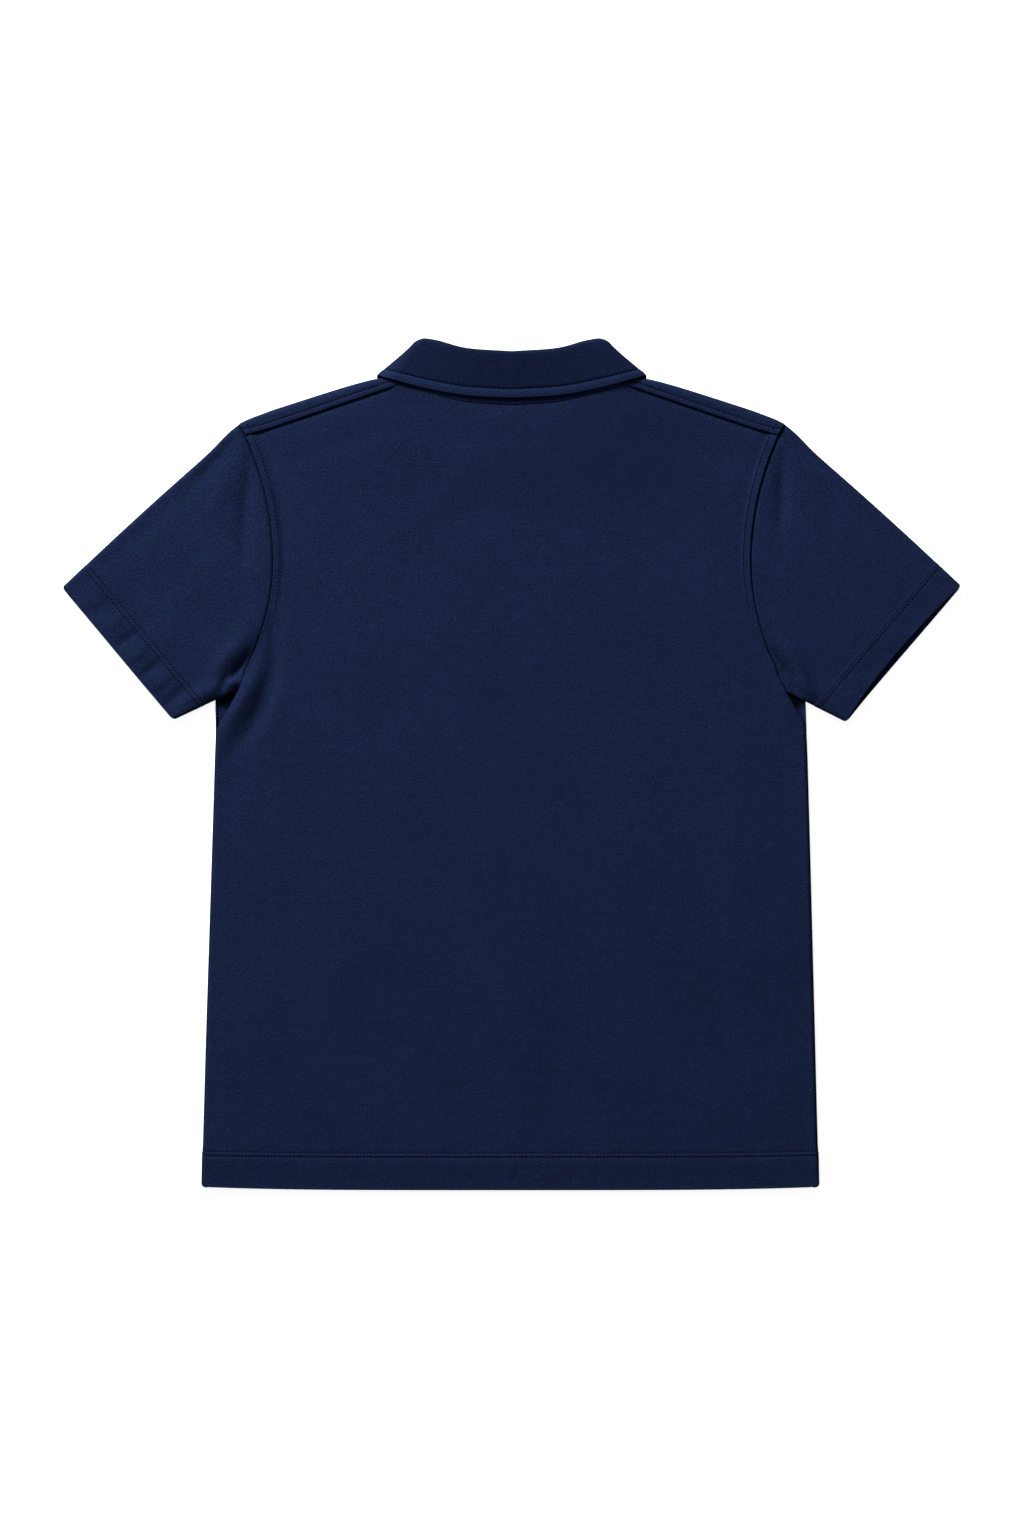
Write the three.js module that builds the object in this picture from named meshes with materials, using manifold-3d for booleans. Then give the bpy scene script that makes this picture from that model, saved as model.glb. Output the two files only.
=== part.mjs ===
// A short-sleeved polo shirt laid face down, with its back uppermost and its collar folded down.
// Millimetres. +Z is up, +Y runs from the hem to the collar and +X to the right, seen from above.
// The builders measure y from the hem. The group at the end moves the origin to the middle of the
// shirt, on the surface that it lies on.
import * as THREE from 'three';
import Module from 'manifold-3d';
import { mergeVertices } from 'three/addons/utils/BufferGeometryUtils.js';

// Driving sizes
const LENGTH = 764.7; // hem to the top of the folded collar
const CLOTH = 1.2; // one layer of knitted cloth
const HALF = CLOTH / 2;
const GAP = 0.3; // between pieces at a seam
const NECK_GAP = 0.5; // between the neckline and the collar, where the cloth curves both ways
const BODY_HEIGHT = 6; // both layers of the body, over all
const HEM = { depth: 33, extra: 1.1, rise: 4.4 }; // turned-up cloth, and how far its corners curve up
const SEAM_BAND = { width: 7, raise: 0.6 }; // seam allowance that lies along an armhole
const STRIP_RAISE = 0.5; // the front's strip stands above the back at the shoulder seam
const COLLAR_CLOTH = 2.2;
const SLOT_FOOT = 498; // above the hem, the foot of the front's slot for the placket
const PLACKET = { half: 15, cloth: 1.5, seam: 3 };
const BUTTON = { radius: 5.8, thick: 2.2, well: 0.7, hole: 0.8, pitch: 1.5, first: 13, spacing: 54, count: 3 };

// Middle of each layer above the surface
const LOW = HALF;
const TOP = BODY_HEIGHT - HALF;
const OVER_COLLAR = 3.1; // the front panel, where it lies over the collar's points and the buttons
const OVER_PLACKET = 7.1; // the back panel, over the placket

// Half outlines from the middle line. up is the height above the hem.
const SIDE = [
  { x: 277.4, up: 0 },
  { x: 276.8, up: 30 },
  { x: 276.0, up: 38 },
  { x: 273.4, up: 135 },
  { x: 269.2, up: 279 },
  { x: 266.0, up: 387 },
  { x: 265.2, up: 408 },
];
// The back panel folds over the armpit along this edge.
const ARMPIT_FOLD = [
  { x: 265.2, up: 408 },
  { x: 262.6, up: 419 },
  { x: 255.8, up: 432 },
  { x: 248.2, up: 446 },
  { x: 239.2, up: 464 },
];
const UNDERARM = { x: 236.3, up: 454.5 };
const ARMPIT_FRONT = { x: 264.6, up: 439.6 };
const ARMHOLE_BACK = [
  UNDERARM,
  { x: 239.0, up: 464 },
  { x: 229.4, up: 488 },
  { x: 221.2, up: 514 },
  { x: 216.0, up: 540 },
  { x: 214.3, up: 566 },
  { x: 215.6, up: 591 },
  { x: 219.6, up: 618 },
  { x: 227.2, up: 647 },
  { x: 238.6, up: 677.7 },
  { x: 243.8, up: 687 },
];
const ARMHOLE_FRONT = [
  UNDERARM,
  { x: 226, up: 482 },
  { x: 211, up: 516 },
  { x: 204, up: 550 },
  { x: 202.5, up: 590 },
  { x: 209, up: 630 },
  { x: 225, up: 664 },
  { x: 243.8, up: 687 },
];
const SHOULDER = [
  { x: 243.8, up: 687.0 },
  { x: 236.7, up: 691.8 },
  { x: 219.6, up: 699.2 },
  { x: 198.0, up: 706.4 },
  { x: 152.0, up: 720.6 },
  { x: 128.0, up: 727.0 },
  { x: 118.0, up: 729.0 },
  { x: 103.4, up: 732.6 },
];
const CUFFS = [
  { name: 'sleeve_left', sign: -1, top: { x: 401.9, up: 543.0 }, bottom: { x: 303.6, up: 423.0 } },
  { name: 'sleeve_right', sign: 1, top: { x: 401.9, up: 544.0 }, bottom: { x: 300.6, up: 422.2 } },
];

// Collar sections from the centre back to the centre front, as x and y of three lines round the neck.
// level is 1 on the back, 0 at the side and -1 on the front.
const COLLAR = [
  { neck: [0, 705.3], roll: [0, 753.2], edge: [0, 711.4], level: 1 },
  { neck: [44.5, 708.8], roll: [42, 756.4], edge: [44.5, 714.2], level: 1 },
  { neck: [80, 718.4], roll: [67, 763], edge: [82, 721.4], level: 1 },
  { neck: [98, 725.5], roll: [79, 764.6], edge: [106, 727.8], level: 1 },
  { neck: [101.6, 730.4], roll: [85.5, 763], edge: [114.5, 730.2], level: 0.7 },
  { neck: [102.8, 733.2], roll: [88.8, 759], edge: [120.2, 732.2], level: 0 },
  { neck: [101.8, 730], roll: [86.5, 752], edge: [120.8, 729.4], level: -0.72 },
  { neck: [98, 722], roll: [79, 742], edge: [117, 722.5], level: -1 },
  { neck: [84, 688], roll: [58, 712], edge: [95, 677], level: -1 },
  { neck: [52, 659], roll: [32, 688], edge: [71, 641], level: -1 },
  { neck: [1.2, 648], roll: [1.2, 670], edge: [46, 611], level: -1 },
];
const COLLAR_SAMPLES = [
  0, 0.4, 0.8, 1.2, 1.6, 2, 2.4, 3, 3.35, 3.7, 4, 4.3, 4.7, 5,
  5.3, 5.7, 6, 6.3, 6.7, 7, 7.4, 7.8, 8.2, 8.6, 9, 9.4, 9.72, 10,
];
const COLLAR_LEVELS = {
  neck: { front: 3.7, back: 12.5 },
  stand: { front: 5.6, back: 12.9 },
  leaf: { front: 1.1, back: 18.5 },
  edge: { front: 1.1, back: 15.7 },
};
const ROLL_WIDTH = 5.4; // between the collar's two layers at the side of the neck

// Rows of the panels: where each leaves the armhole, as a share of it, and where it ends, either
// at a height on the middle line or at a section of the collar.
const BACK_ROWS = [
  { share: 0.12, up: 500 },
  { share: 0.2, up: 536 },
  { share: 0.28, up: 572 },
  { share: 0.36, up: 606 },
  { share: 0.44, up: 640 },
  { share: 0.53, up: 674 },
  { share: 0.62, section: 0 },
  { share: 0.68, section: 0.4 },
  { share: 0.74, section: 0.8 },
  { share: 0.8, section: 1.2 },
  { share: 0.85, section: 1.6 },
  { share: 0.89, section: 2 },
  { share: 0.925, section: 2.4 },
  { share: 0.958, section: 3 },
];
const FRONT_ROWS = [
  { share: 0.05, up: 476 },
  { share: 0.11, up: SLOT_FOOT },
  { share: 0.17, up: 524 },
  { share: 0.24, up: 552 },
  { share: 0.31, up: 580 },
  { share: 0.38, up: 606 },
  { share: 0.45, up: 630 },
  { share: 0.52, section: 9.72 },
  { share: 0.58, section: 9.4 },
  { share: 0.64, section: 9 },
  { share: 0.7, section: 8.6 },
  { share: 0.76, section: 8.2 },
  { share: 0.82, section: 7.8 },
  { share: 0.87, section: 7.4 },
  { share: 0.92, section: 7 },
  { share: 0.955, section: 6.7 },
];
// The rolled shoulder: distance from the fold as a share of the armhole, and the collar section there.
const SHOULDER_ROLL = [
  { share: 0.016, section: 1.3 },
  { share: 0.006, section: 0.7 },
  { share: 0.0015, section: 0.3 },
  { share: 0, section: 0 },
];
const SIDE_SECTION = 5;
const SEAM_SECTION = 3;
const SEAM_SHARE = 0.958;

// Soft folds of the upper layer: middle, direction in degrees, half length, half width and height
const FOLDS = [
  { x: -230, up: 476, turn: 62, long: 34, wide: 9, high: -0.9 },
  { x: 232, up: 474, turn: 116, long: 34, wide: 9, high: -0.9 },
  { x: -252, up: 486, turn: 60, long: 32, wide: 9, high: 1.5 },
  { x: 256, up: 482, turn: 118, long: 32, wide: 10, high: 1.4 },
  { x: -240, up: 585, turn: 90, long: 46, wide: 11, high: -0.9 },
  { x: 242, up: 620, turn: 92, long: 40, wide: 12, high: -0.9 },
  { x: -252, up: 360, turn: 86, long: 70, wide: 14, high: -0.8 },
  { x: 250, up: 350, turn: 94, long: 80, wide: 15, high: -0.7 },
  { x: -110, up: 290, turn: 82, long: 190, wide: 40, high: 0.7 },
  { x: 125, up: 250, turn: 98, long: 180, wide: 45, high: 0.7 },
];

const COLOURS = { cloth: 0x18223c, collar: 0x141c32, button: 0x1a2136 };

const { lerp, clamp, degToRad, smoothstep: rise } = THREE.MathUtils;
const fade = (distance, from, to) => 1 - rise(distance, from, to);
const bell = (distance, width) => Math.exp(-((distance / width) ** 2));
const place = (x, y, z = 0) => new THREE.Vector3(x, y, z);
const asPlace = (row) => place(row.x, row.up);
const curveThrough = (places) => new THREE.CatmullRomCurve3(places, false, 'centripetal');

const armpitFold = curveThrough(ARMPIT_FOLD.map(asPlace));
const armholeBack = curveThrough(ARMHOLE_BACK.map(asPlace));
const armholeFront = curveThrough(ARMHOLE_FRONT.map(asPlace));
const shoulder = curveThrough(SHOULDER.map(asPlace));

// Lines that run round the neck, with the level as their third number
const LAST = COLLAR.length - 1;
const collarCurve = (line) => curveThrough(COLLAR.map((s) => place(s[line][0], s[line][1], s.level)));
const collarCurves = { neck: collarCurve('neck'), roll: collarCurve('roll'), edge: collarCurve('edge') };
const collarPoint = (line, section, levels = COLLAR_LEVELS[line]) => {
  const point = collarCurves[line].getPoint(section / LAST);
  point.z = lerp(levels.front, levels.back, (clamp(point.z, -1, 1) + 1) / 2);
  return point;
};
// A panel's neckline lies a gap beyond the collar's own edge.
function necklinePoint(section) {
  const neck = collarPoint('neck', section);
  const away = neck.clone().sub(collarPoint('roll', section, COLLAR_LEVELS.neck)).normalize();
  return neck.addScaledVector(away, NECK_GAP);
}
const PLACKET_TOP = necklinePoint(LAST).y;
const PLACKET_FOOT = SLOT_FOOT + GAP;

// How far a place is from a closed outline, and 0 inside it
function distanceOutside(outline, x, y) {
  let inside = false;
  let nearest = Infinity;
  outline.forEach(([ax, ay], i) => {
    const [bx, by] = outline[(i + 1) % outline.length];
    const run = (bx - ax) ** 2 + (by - ay) ** 2;
    const share = clamp(((x - ax) * (bx - ax) + (y - ay) * (by - ay)) / run, 0, 1);
    nearest = Math.min(nearest, Math.hypot(x - lerp(ax, bx, share), y - lerp(ay, by, share)));
    if (ay > y !== by > y && x < ((bx - ax) * (y - ay)) / (by - ay) + ax) inside = !inside;
  });
  return inside ? 0 : nearest;
}
const frontSections = COLLAR.filter((s) => s.level <= 0);
const leafOutline = [...frontSections.map((s) => s.edge), ...frontSections.map((s) => s.roll).reverse()];
const placketOutline = [
  [-1, PLACKET_FOOT],
  [PLACKET.half + PLACKET.seam, PLACKET_FOOT],
  [PLACKET.half + PLACKET.seam, PLACKET_TOP + 20],
  [-1, PLACKET_TOP + 20],
];

// Heights of the middle of the two layers of the body
function foldHeight(x, y) {
  return FOLDS.reduce((sum, f) => {
    const turn = degToRad(f.turn);
    const along = (x - f.x) * Math.cos(turn) + (y - f.up) * Math.sin(turn);
    const across = (y - f.up) * Math.cos(turn) - (x - f.x) * Math.sin(turn);
    return sum + f.high * bell(along, f.long) * bell(across, f.wide);
  }, 0);
}
function topLevel(x, y) {
  const overCollar = (COLLAR_LEVELS.neck.back - TOP) * fade(Math.hypot(x / 1.25, y - 760), 62, 190);
  const overPlacket = (OVER_PLACKET - TOP) * fade(distanceOutside(placketOutline, Math.abs(x), y), 5, 70);
  return TOP + Math.max(overCollar, overPlacket) + foldHeight(x, y);
}
function lowLevel(x, y) {
  const toLeaf = distanceOutside(leafOutline, Math.abs(x), y);
  const toPlacket = distanceOutside(placketOutline, Math.abs(x), y);
  return LOW + (OVER_COLLAR - LOW) * fade(Math.min(toLeaf, toPlacket), 22, 52);
}

// Walls of cloth. A point of the middle surface says how thick the cloth is on its outer and inner side,
// and whether its rim stands upright, which keeps two rims that meet apart.
const clothPoint = (at, outer = HALF, inner = HALF, upright = false) => ({ at, outer, inner, upright });

const LOWEST = place(-Infinity, -Infinity, 0); // nothing is below the surface that the shirt lies on

class ClothWall {
  points = [];
  places = new Map();
  triangles = [];

  indexOf(point) {
    const key = point.at.toArray().map((v) => Math.round(v * 1000)).join();
    if (!this.places.has(key)) {
      this.places.set(key, this.points.length);
      this.points.push(point);
    }
    return this.places.get(key);
  }
  // Seen from the outer side, the rows lie to the left of the columns' direction, or to the right if turned.
  patch(rows, turned = false) {
    for (let r = 0; r + 1 < rows.length; r++) {
      for (let c = 0; c + 1 < rows[r].length; c++) {
        const quad = [rows[r][c], rows[r][c + 1], rows[r + 1][c + 1], rows[r + 1][c]];
        const [a, b, d, e] = (turned ? quad.reverse() : quad).map((p) => this.indexOf(p));
        for (const [i, j, k] of [[a, b, d], [a, d, e]]) {
          if (i !== j && j !== k && i !== k) this.triangles.push([i, j, k]);
        }
      }
    }
    return this;
  }
  normals() {
    const sums = this.points.map(() => place(0, 0));
    for (const [a, b, c] of this.triangles) {
      const corner = this.points[a].at;
      const normal = this.points[b].at.clone().sub(corner).cross(this.points[c].at.clone().sub(corner));
      for (const i of [a, b, c]) sums[i].add(normal);
    }
    return sums.map((n, i) => (this.points[i].upright ? n.setZ(0) : n).normalize());
  }
  geometry() {
    const normals = this.normals();
    const count = this.points.length;
    const moved = (p, normal, by) => p.at.clone().addScaledVector(normal, by).max(LOWEST);
    const outer = this.points.map((p, i) => moved(p, normals[i], p.outer));
    const inner = this.points.map((p, i) => moved(p, normals[i], -p.inner));
    const directed = new Set(this.triangles.flatMap(([a, b, c]) => [`${a}_${b}`, `${b}_${c}`, `${c}_${a}`]));
    const faces = [];
    for (const [a, b, c] of this.triangles) {
      faces.push(a, b, c, c + count, b + count, a + count);
      for (const [p, q] of [[a, b], [b, c], [c, a]]) {
        if (!directed.has(`${q}_${p}`)) faces.push(q, p, p + count, q, p + count, q + count);
      }
    }
    const geometry = new THREE.BufferGeometry();
    const numbers = [...outer, ...inner].flatMap((v) => v.toArray());
    geometry.setAttribute('position', new THREE.Float32BufferAttribute(numbers, 3));
    geometry.setIndex(faces);
    geometry.computeVertexNormals();
    return geometry;
  }
}

// Rows of a panel
const EDGE_COLUMNS = [0, 0.3, 1.1, 2.6, 7, 9]; // distances from the outer edge: its roll, then the seam band
const MIDDLE_COLUMNS = 6;
const ROLL_REACH = EDGE_COLUMNS[3];
// How far a layer has turned towards the other at this distance from a folded edge: 1 at the edge
const turned = (distance, reach = ROLL_REACH) =>
  distance >= reach ? 0 : 1 - Math.sqrt(1 - (1 - distance / reach) ** 2);

// The shoulder's bow away from a straight line between its ends
function shoulderBow(share) {
  const straight = shoulder.getPoint(0).lerp(shoulder.getPoint(1), share);
  return shoulder.getPointAt(share).sub(straight);
}
function rowPlaces({ from, to, bow = 0 }) {
  const width = Math.hypot(to.x - from.x, to.y - from.y);
  const start = EDGE_COLUMNS[EDGE_COLUMNS.length - 1] / width;
  const even = Array.from({ length: MIDDLE_COLUMNS }, (_, i) => lerp(start, 1, (i + 1) / MIDDLE_COLUMNS));
  return [...EDGE_COLUMNS.map((d) => d / width), ...even].map((share) => {
    const at = from.clone().lerp(to, share).setZ(0).addScaledVector(shoulderBow(share), bow);
    at.y += HEM.rise * fade(at.y, 0, 70) * (Math.abs(at.x) / SIDE[0].x) ** 5;
    return { at, distance: share * width, toEnd: (1 - share) * width };
  });
}
const hemThickness = (y, distance) =>
  HALF + HEM.extra * fade(y, HEM.depth, HEM.depth + 3) * rise(distance, ROLL_REACH, 2 * ROLL_REACH);

// Where the outline's edge is at a height, a half thickness inside it so that the outer face is on it
function sidePlace(y) {
  const spans = SIDE.findIndex((row) => row.up >= y);
  const [a, b] = [SIDE[Math.max(spans - 1, 0)], SIDE[Math.max(spans, 1)]];
  return place(lerp(a.x, b.x, (y - a.up) / (b.up - a.up)) - HALF, y);
}
const SIDE_HEIGHTS = [0, 12, HEM.depth, HEM.depth + 4, 64, 105, 150, 200, 250, 300, 345, 382, 408];
const end = (row, middle) => (row.section === undefined ? place(middle, row.up) : necklinePoint(row.section));

// Back panel
function backRows(sign) {
  const lines = [
    ...SIDE_HEIGHTS.map((y) => ({ from: sidePlace(y), to: place(0, y), edge: 'seam' })),
    ...[0.25, 0.5, 0.75, 1].map((s) => ({
      from: armpitFold.getPointAt(s),
      to: place(0, lerp(408, 466, s)),
      edge: s === 1 ? 'armhole' : 'fold',
    })),
    ...BACK_ROWS.map((row) => ({
      from: armholeBack.getPointAt(row.share),
      to: end(row, 0),
      edge: 'armhole',
      neck: row.section !== undefined,
      bow: 0.7 * rise(row.share, 0.6, 0.9) * fade(row.share, 0.925, SEAM_SHARE),
    })),
  ];
  const last = lines[lines.length - 1];
  last.from = last.from.clone().add(place(-0.1, -GAP));
  last.to = last.to.clone().add(place(-0.1, -GAP));
  return lines.map((line) =>
    rowPlaces(line).map(({ at, distance, toEnd }) => {
      const level = topLevel(sign * at.x, at.y);
      const edgeLevel = { seam: BODY_HEIGHT / 2 + GAP, fold: level - 0.8, armhole: level }[line.edge];
      const z = lerp(level, edgeLevel, turned(distance));
      const neckShare = line.neck ? fade(toEnd, 0, 20) : 0;
      const band = line.edge === 'armhole' ? SEAM_BAND.raise * fade(distance, SEAM_BAND.width, 9) : 0;
      return clothPoint(
        place(sign * at.x, at.y, lerp(z, line.to.z, neckShare)),
        HALF + band,
        hemThickness(at.y, distance),
        distance === 0 && line.edge === 'seam',
      );
    }),
  );
}

// Front panel, with a slot for the placket and a strip that runs over the shoulder to the seam on the back
const SLOT = PLACKET.half + GAP;
function frontLines() {
  const fold = SHOULDER_ROLL.map((r) => ({
    from: armholeFront.getPointAt(1 - r.share),
    to: necklinePoint(SIDE_SECTION + r.section),
    roll: r.share,
    bow: 1,
  }));
  const over = SHOULDER_ROLL.slice(0, -1)
    .reverse()
    .map((r) => ({
      from: armholeBack.getPointAt(1 - r.share),
      to: necklinePoint(SIDE_SECTION - r.section),
      roll: r.share,
      bow: 1,
      onBack: true,
    }));
  const seam = {
    from: armholeBack.getPointAt(SEAM_SHARE),
    to: necklinePoint(SEAM_SECTION),
    bow: 0,
    onBack: true,
  };
  return [
    ...SIDE_HEIGHTS.map((y) => ({ from: sidePlace(y), to: place(SLOT, y), edge: 'seam' })),
    { from: asPlace(ARMPIT_FRONT), to: place(SLOT, 432), edge: 'seam' },
    { from: place(250, 446.2), to: place(SLOT, 446), edge: 'armhole' },
    { from: asPlace(UNDERARM).add(place(-0.4, -2)), to: place(SLOT, 458), edge: 'armhole' },
    ...FRONT_ROWS.map((row) => ({
      from: armholeFront.getPointAt(row.share),
      to: end(row, SLOT),
      edge: 'armhole',
      neck: row.section !== undefined,
      bow: rise(row.share, 0.6, 1),
    })),
    ...fold.map((line) => ({ ...line, edge: 'armhole', neck: true })),
    ...over.map((line) => ({ ...line, edge: 'armhole', neck: true })),
    { ...seam, edge: 'armhole', neck: true },
  ];
}
function frontRows(sign) {
  return frontLines().map((line) =>
    rowPlaces(line).map(({ at, distance, toEnd }) => {
      const low = lowLevel(sign * at.x, at.y);
      const top = topLevel(sign * at.x, at.y) + STRIP_RAISE;
      const level = line.onBack ? top : low;
      const roll = line.roll === undefined ? 0 : turned(line.roll, SHOULDER_ROLL[0].share);
      const edgeLevel = line.edge === 'seam' ? BODY_HEIGHT / 2 - GAP : level;
      const z = lerp(lerp(level, edgeLevel, turned(distance)), (low + top) / 2, roll);
      return clothPoint(
        place(sign * at.x, at.y, lerp(z, line.to.z, line.neck ? fade(toEnd, 0, 20) : 0)),
        HALF,
        hemThickness(at.y, distance),
        distance === 0 && line.edge === 'seam',
      );
    }),
  );
}
// The cloth between the two halves, from the hem to the foot of the slot
function frontMiddleRows(sign) {
  const heights = frontLines().map((line) => line.to.y);
  return heights
    .slice(0, heights.indexOf(SLOT_FOOT) + 1)
    .map((y) =>
      [SLOT, SLOT / 2, 0].map((x) => clothPoint(place(sign * x, y, lowLevel(x, y)), HALF, hemThickness(y, SLOT))),
    );
}

// Sleeves: closed rings from the armhole to the cuff
const ROLL_SHARES = [0, 0.0015, 0.006, 0.016];
const SLEEVE_ROWS = [0, 0.03, 0.12, 0.27, 0.43, 0.59, 0.74, 0.785, 0.81, 0.93, 1];
const CUFF_HEM = 0.79; // where the cuff's hem begins, as a share of the sleeve
const CUFF_WIDTH = 155;
const ringShares = (rows) => [
  ...ROLL_SHARES,
  ...rows.map((row) => row.share),
  ...ROLL_SHARES.map((s) => 1 - s).reverse(),
];
// A place on an armhole's curve, moved out by the seam's gap
function sleeveStart(curve, share) {
  const along = curve.getTangentAt(share);
  return curve.getPointAt(share).add(place(along.y, -along.x).multiplyScalar(GAP));
}
function sleeveRow(cuff, down) {
  const bottom = asPlace(cuff.bottom).lerp(asPlace(cuff.top), HALF / CUFF_WIDTH);
  const top = asPlace(cuff.top).lerp(asPlace(cuff.bottom), HALF / CUFF_WIDTH);
  const layer = (curve, rows, upper) =>
    ringShares(rows).map((share) => {
      const at = sleeveStart(curve, share).lerp(bottom.clone().lerp(top, share), down);
      const dip = 1.9 * fade(Math.hypot(at.x - UNDERARM.x, at.y - UNDERARM.up), 8, 36);
      const high = topLevel(cuff.sign * at.x, at.y) - dip;
      const toFold = Math.min(share, 1 - share);
      const z = lerp(upper ? high : LOW, (LOW + high) / 2, turned(toFold, ROLL_SHARES[3]));
      const hem = HEM.extra * rise(down, CUFF_HEM - 0.01, CUFF_HEM + 0.01) * rise(toFold, 0.012, 0.03);
      return clothPoint(place(cuff.sign * at.x, at.y, z), HALF, HALF + hem);
    });
  const lower = layer(armholeFront, FRONT_ROWS, false);
  const upper = layer(armholeBack, [{ share: 0.04 }, ...BACK_ROWS], true);
  return [...lower, ...upper.reverse().slice(1, -1), lower[0]];
}

// Collar: one folded band of double cloth round the neck
const ROLL_STEPS = 4;
function collarSection(sign, section) {
  const neck = collarPoint('neck', section);
  const roll = collarPoint('roll', section, COLLAR_LEVELS.stand);
  const edge = collarPoint('edge', section);
  const level = clamp(collarCurves.roll.getPoint(section / LAST).z, -1, 1);
  const leafLevel = lerp(COLLAR_LEVELS.leaf.front, COLLAR_LEVELS.leaf.back, (level + 1) / 2);
  const out = place(roll.y - neck.y, neck.x - roll.x).normalize();
  const sideways = Math.sqrt(1 - level ** 2) * ROLL_WIDTH;
  const across = out.clone().multiplyScalar(sideways).setZ(leafLevel - roll.z);
  const radius = across.length() / 2;
  const along = roll.clone().sub(neck).normalize();
  const stand = roll.clone().addScaledVector(along, -radius - COLLAR_CLOTH / 2).addScaledVector(out, -sideways);
  const turn = Array.from({ length: ROLL_STEPS + 1 }, (_, i) => {
    const angle = (i / ROLL_STEPS) * Math.PI;
    return stand
      .clone()
      .addScaledVector(across, (1 - Math.cos(angle)) / 2)
      .addScaledVector(along, radius * Math.sin(angle));
  });
  const leaf = turn[ROLL_STEPS];
  const line = [neck, neck.clone().lerp(stand, 0.5), ...turn];
  for (const share of [0.35, 0.7, 1]) line.push(leaf.clone().lerp(edge, share));
  return line.map((at) => clothPoint(at.setX(sign * at.x), COLLAR_CLOTH / 2, COLLAR_CLOTH / 2));
}

// Placket: two strips of double cloth, the upper one outside. Its outer face looks down.
function strip({ left, right, low }) {
  const shape = new THREE.Shape([
    new THREE.Vector2(left, PLACKET_FOOT),
    new THREE.Vector2(right, PLACKET_FOOT),
    new THREE.Vector2(right, PLACKET_TOP - GAP),
    new THREE.Vector2(left, PLACKET_TOP - GAP),
  ]);
  return new THREE.ExtrudeGeometry(shape, { depth: PLACKET.cloth, bevelEnabled: false }).translate(0, 0, low);
}
const UPPER_STRIP = { left: -PLACKET.half, right: PLACKET.half, low: OVER_COLLAR - HALF };
const UNDER_STRIP = {
  left: -PLACKET.half - PLACKET.seam,
  right: PLACKET.half + PLACKET.seam,
  low: UPPER_STRIP.low + PLACKET.cloth + GAP,
};

// Buttons
const wasm = await Module();
wasm.setup();
function asSolid(geometry) {
  geometry.deleteAttribute('normal');
  geometry.deleteAttribute('uv');
  const merged = mergeVertices(geometry, 1e-4);
  return new wasm.Manifold(
    new wasm.Mesh({ numProp: 3, vertProperties: merged.attributes.position.array, triVerts: merged.index.array }),
  );
}
function asGeometry(solid) {
  const mesh = solid.getMesh();
  const geometry = new THREE.BufferGeometry();
  geometry.setAttribute('position', new THREE.Float32BufferAttribute(mesh.vertProperties, 3));
  geometry.setIndex([...mesh.triVerts]);
  geometry.computeVertexNormals();
  return geometry;
}
function buttonGeometry() {
  const { radius, thick, well, hole, pitch } = BUTTON;
  const profile = [
    [0, well],
    [radius * 0.66, well],
    [radius * 0.8, 0],
    [radius * 0.94, 0],
    [radius, thick * 0.4],
    [radius * 0.9, thick],
    [0, thick],
  ].map(([r, z]) => new THREE.Vector2(r, z));
  let disc = asSolid(new THREE.LatheGeometry(profile, 20).rotateX(Math.PI / 2));
  for (const [x, y] of [[-pitch, -pitch], [pitch, -pitch], [-pitch, pitch], [pitch, pitch]]) {
    const bore = new THREE.CylinderGeometry(hole, hole, 3 * thick, 8).rotateX(Math.PI / 2).translate(x, y, 0);
    disc = disc.subtract(asSolid(bore));
  }
  return asGeometry(disc);
}

// Assembly
const cloth = (name, color = COLOURS.cloth) =>
  new THREE.MeshStandardMaterial({ name, color, roughness: 0.95, metalness: 0, side: THREE.DoubleSide });
const shirt = new THREE.Group();
function add(name, geometry, material) {
  const mesh = new THREE.Mesh(geometry, material);
  mesh.name = name;
  shirt.add(mesh);
  return mesh;
}
const fabric = cloth('jersey');

const back = new ClothWall().patch(backRows(1), true).patch(backRows(-1));
add('back_panel', back.geometry(), fabric);

const front = new ClothWall().patch(frontRows(1)).patch(frontRows(-1), true);
front.patch(frontMiddleRows(1)).patch(frontMiddleRows(-1), true);
add('front_panel', front.geometry(), fabric);

for (const cuff of CUFFS) {
  const rows = SLEEVE_ROWS.map((down) => sleeveRow(cuff, down));
  add(cuff.name, new ClothWall().patch(rows, cuff.sign < 0).geometry(), fabric);
}

const band = new ClothWall();
for (const sign of [1, -1]) band.patch(COLLAR_SAMPLES.map((s) => collarSection(sign, s)), sign < 0);
add('collar', band.geometry(), cloth('rib', COLOURS.collar));

add('placket_upper', strip(UPPER_STRIP), fabric);
add('placket_under', strip(UNDER_STRIP), fabric);
const buttonMaterial = new THREE.MeshStandardMaterial({ name: 'button', color: COLOURS.button, roughness: 0.35 });
for (let i = 0; i < BUTTON.count; i++) {
  const button = add(`button_${i + 1}`, buttonGeometry(), buttonMaterial);
  button.position.set(0, PLACKET_TOP - BUTTON.first - i * BUTTON.spacing, 0);
}

shirt.position.set(0, -LENGTH / 2, 0);
export default shirt;
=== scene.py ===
# The looks of a short-sleeved polo shirt that lies face down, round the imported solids.
# Sizes are in millimetres in the shirt's own plane: x to the right, up above the hem, z above the surface
# that it lies on. Meshes are written in metres, in the frame.
import math
import bpy
import numpy as np
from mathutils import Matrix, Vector
from mathutils.bvhtree import BVHTree


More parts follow.
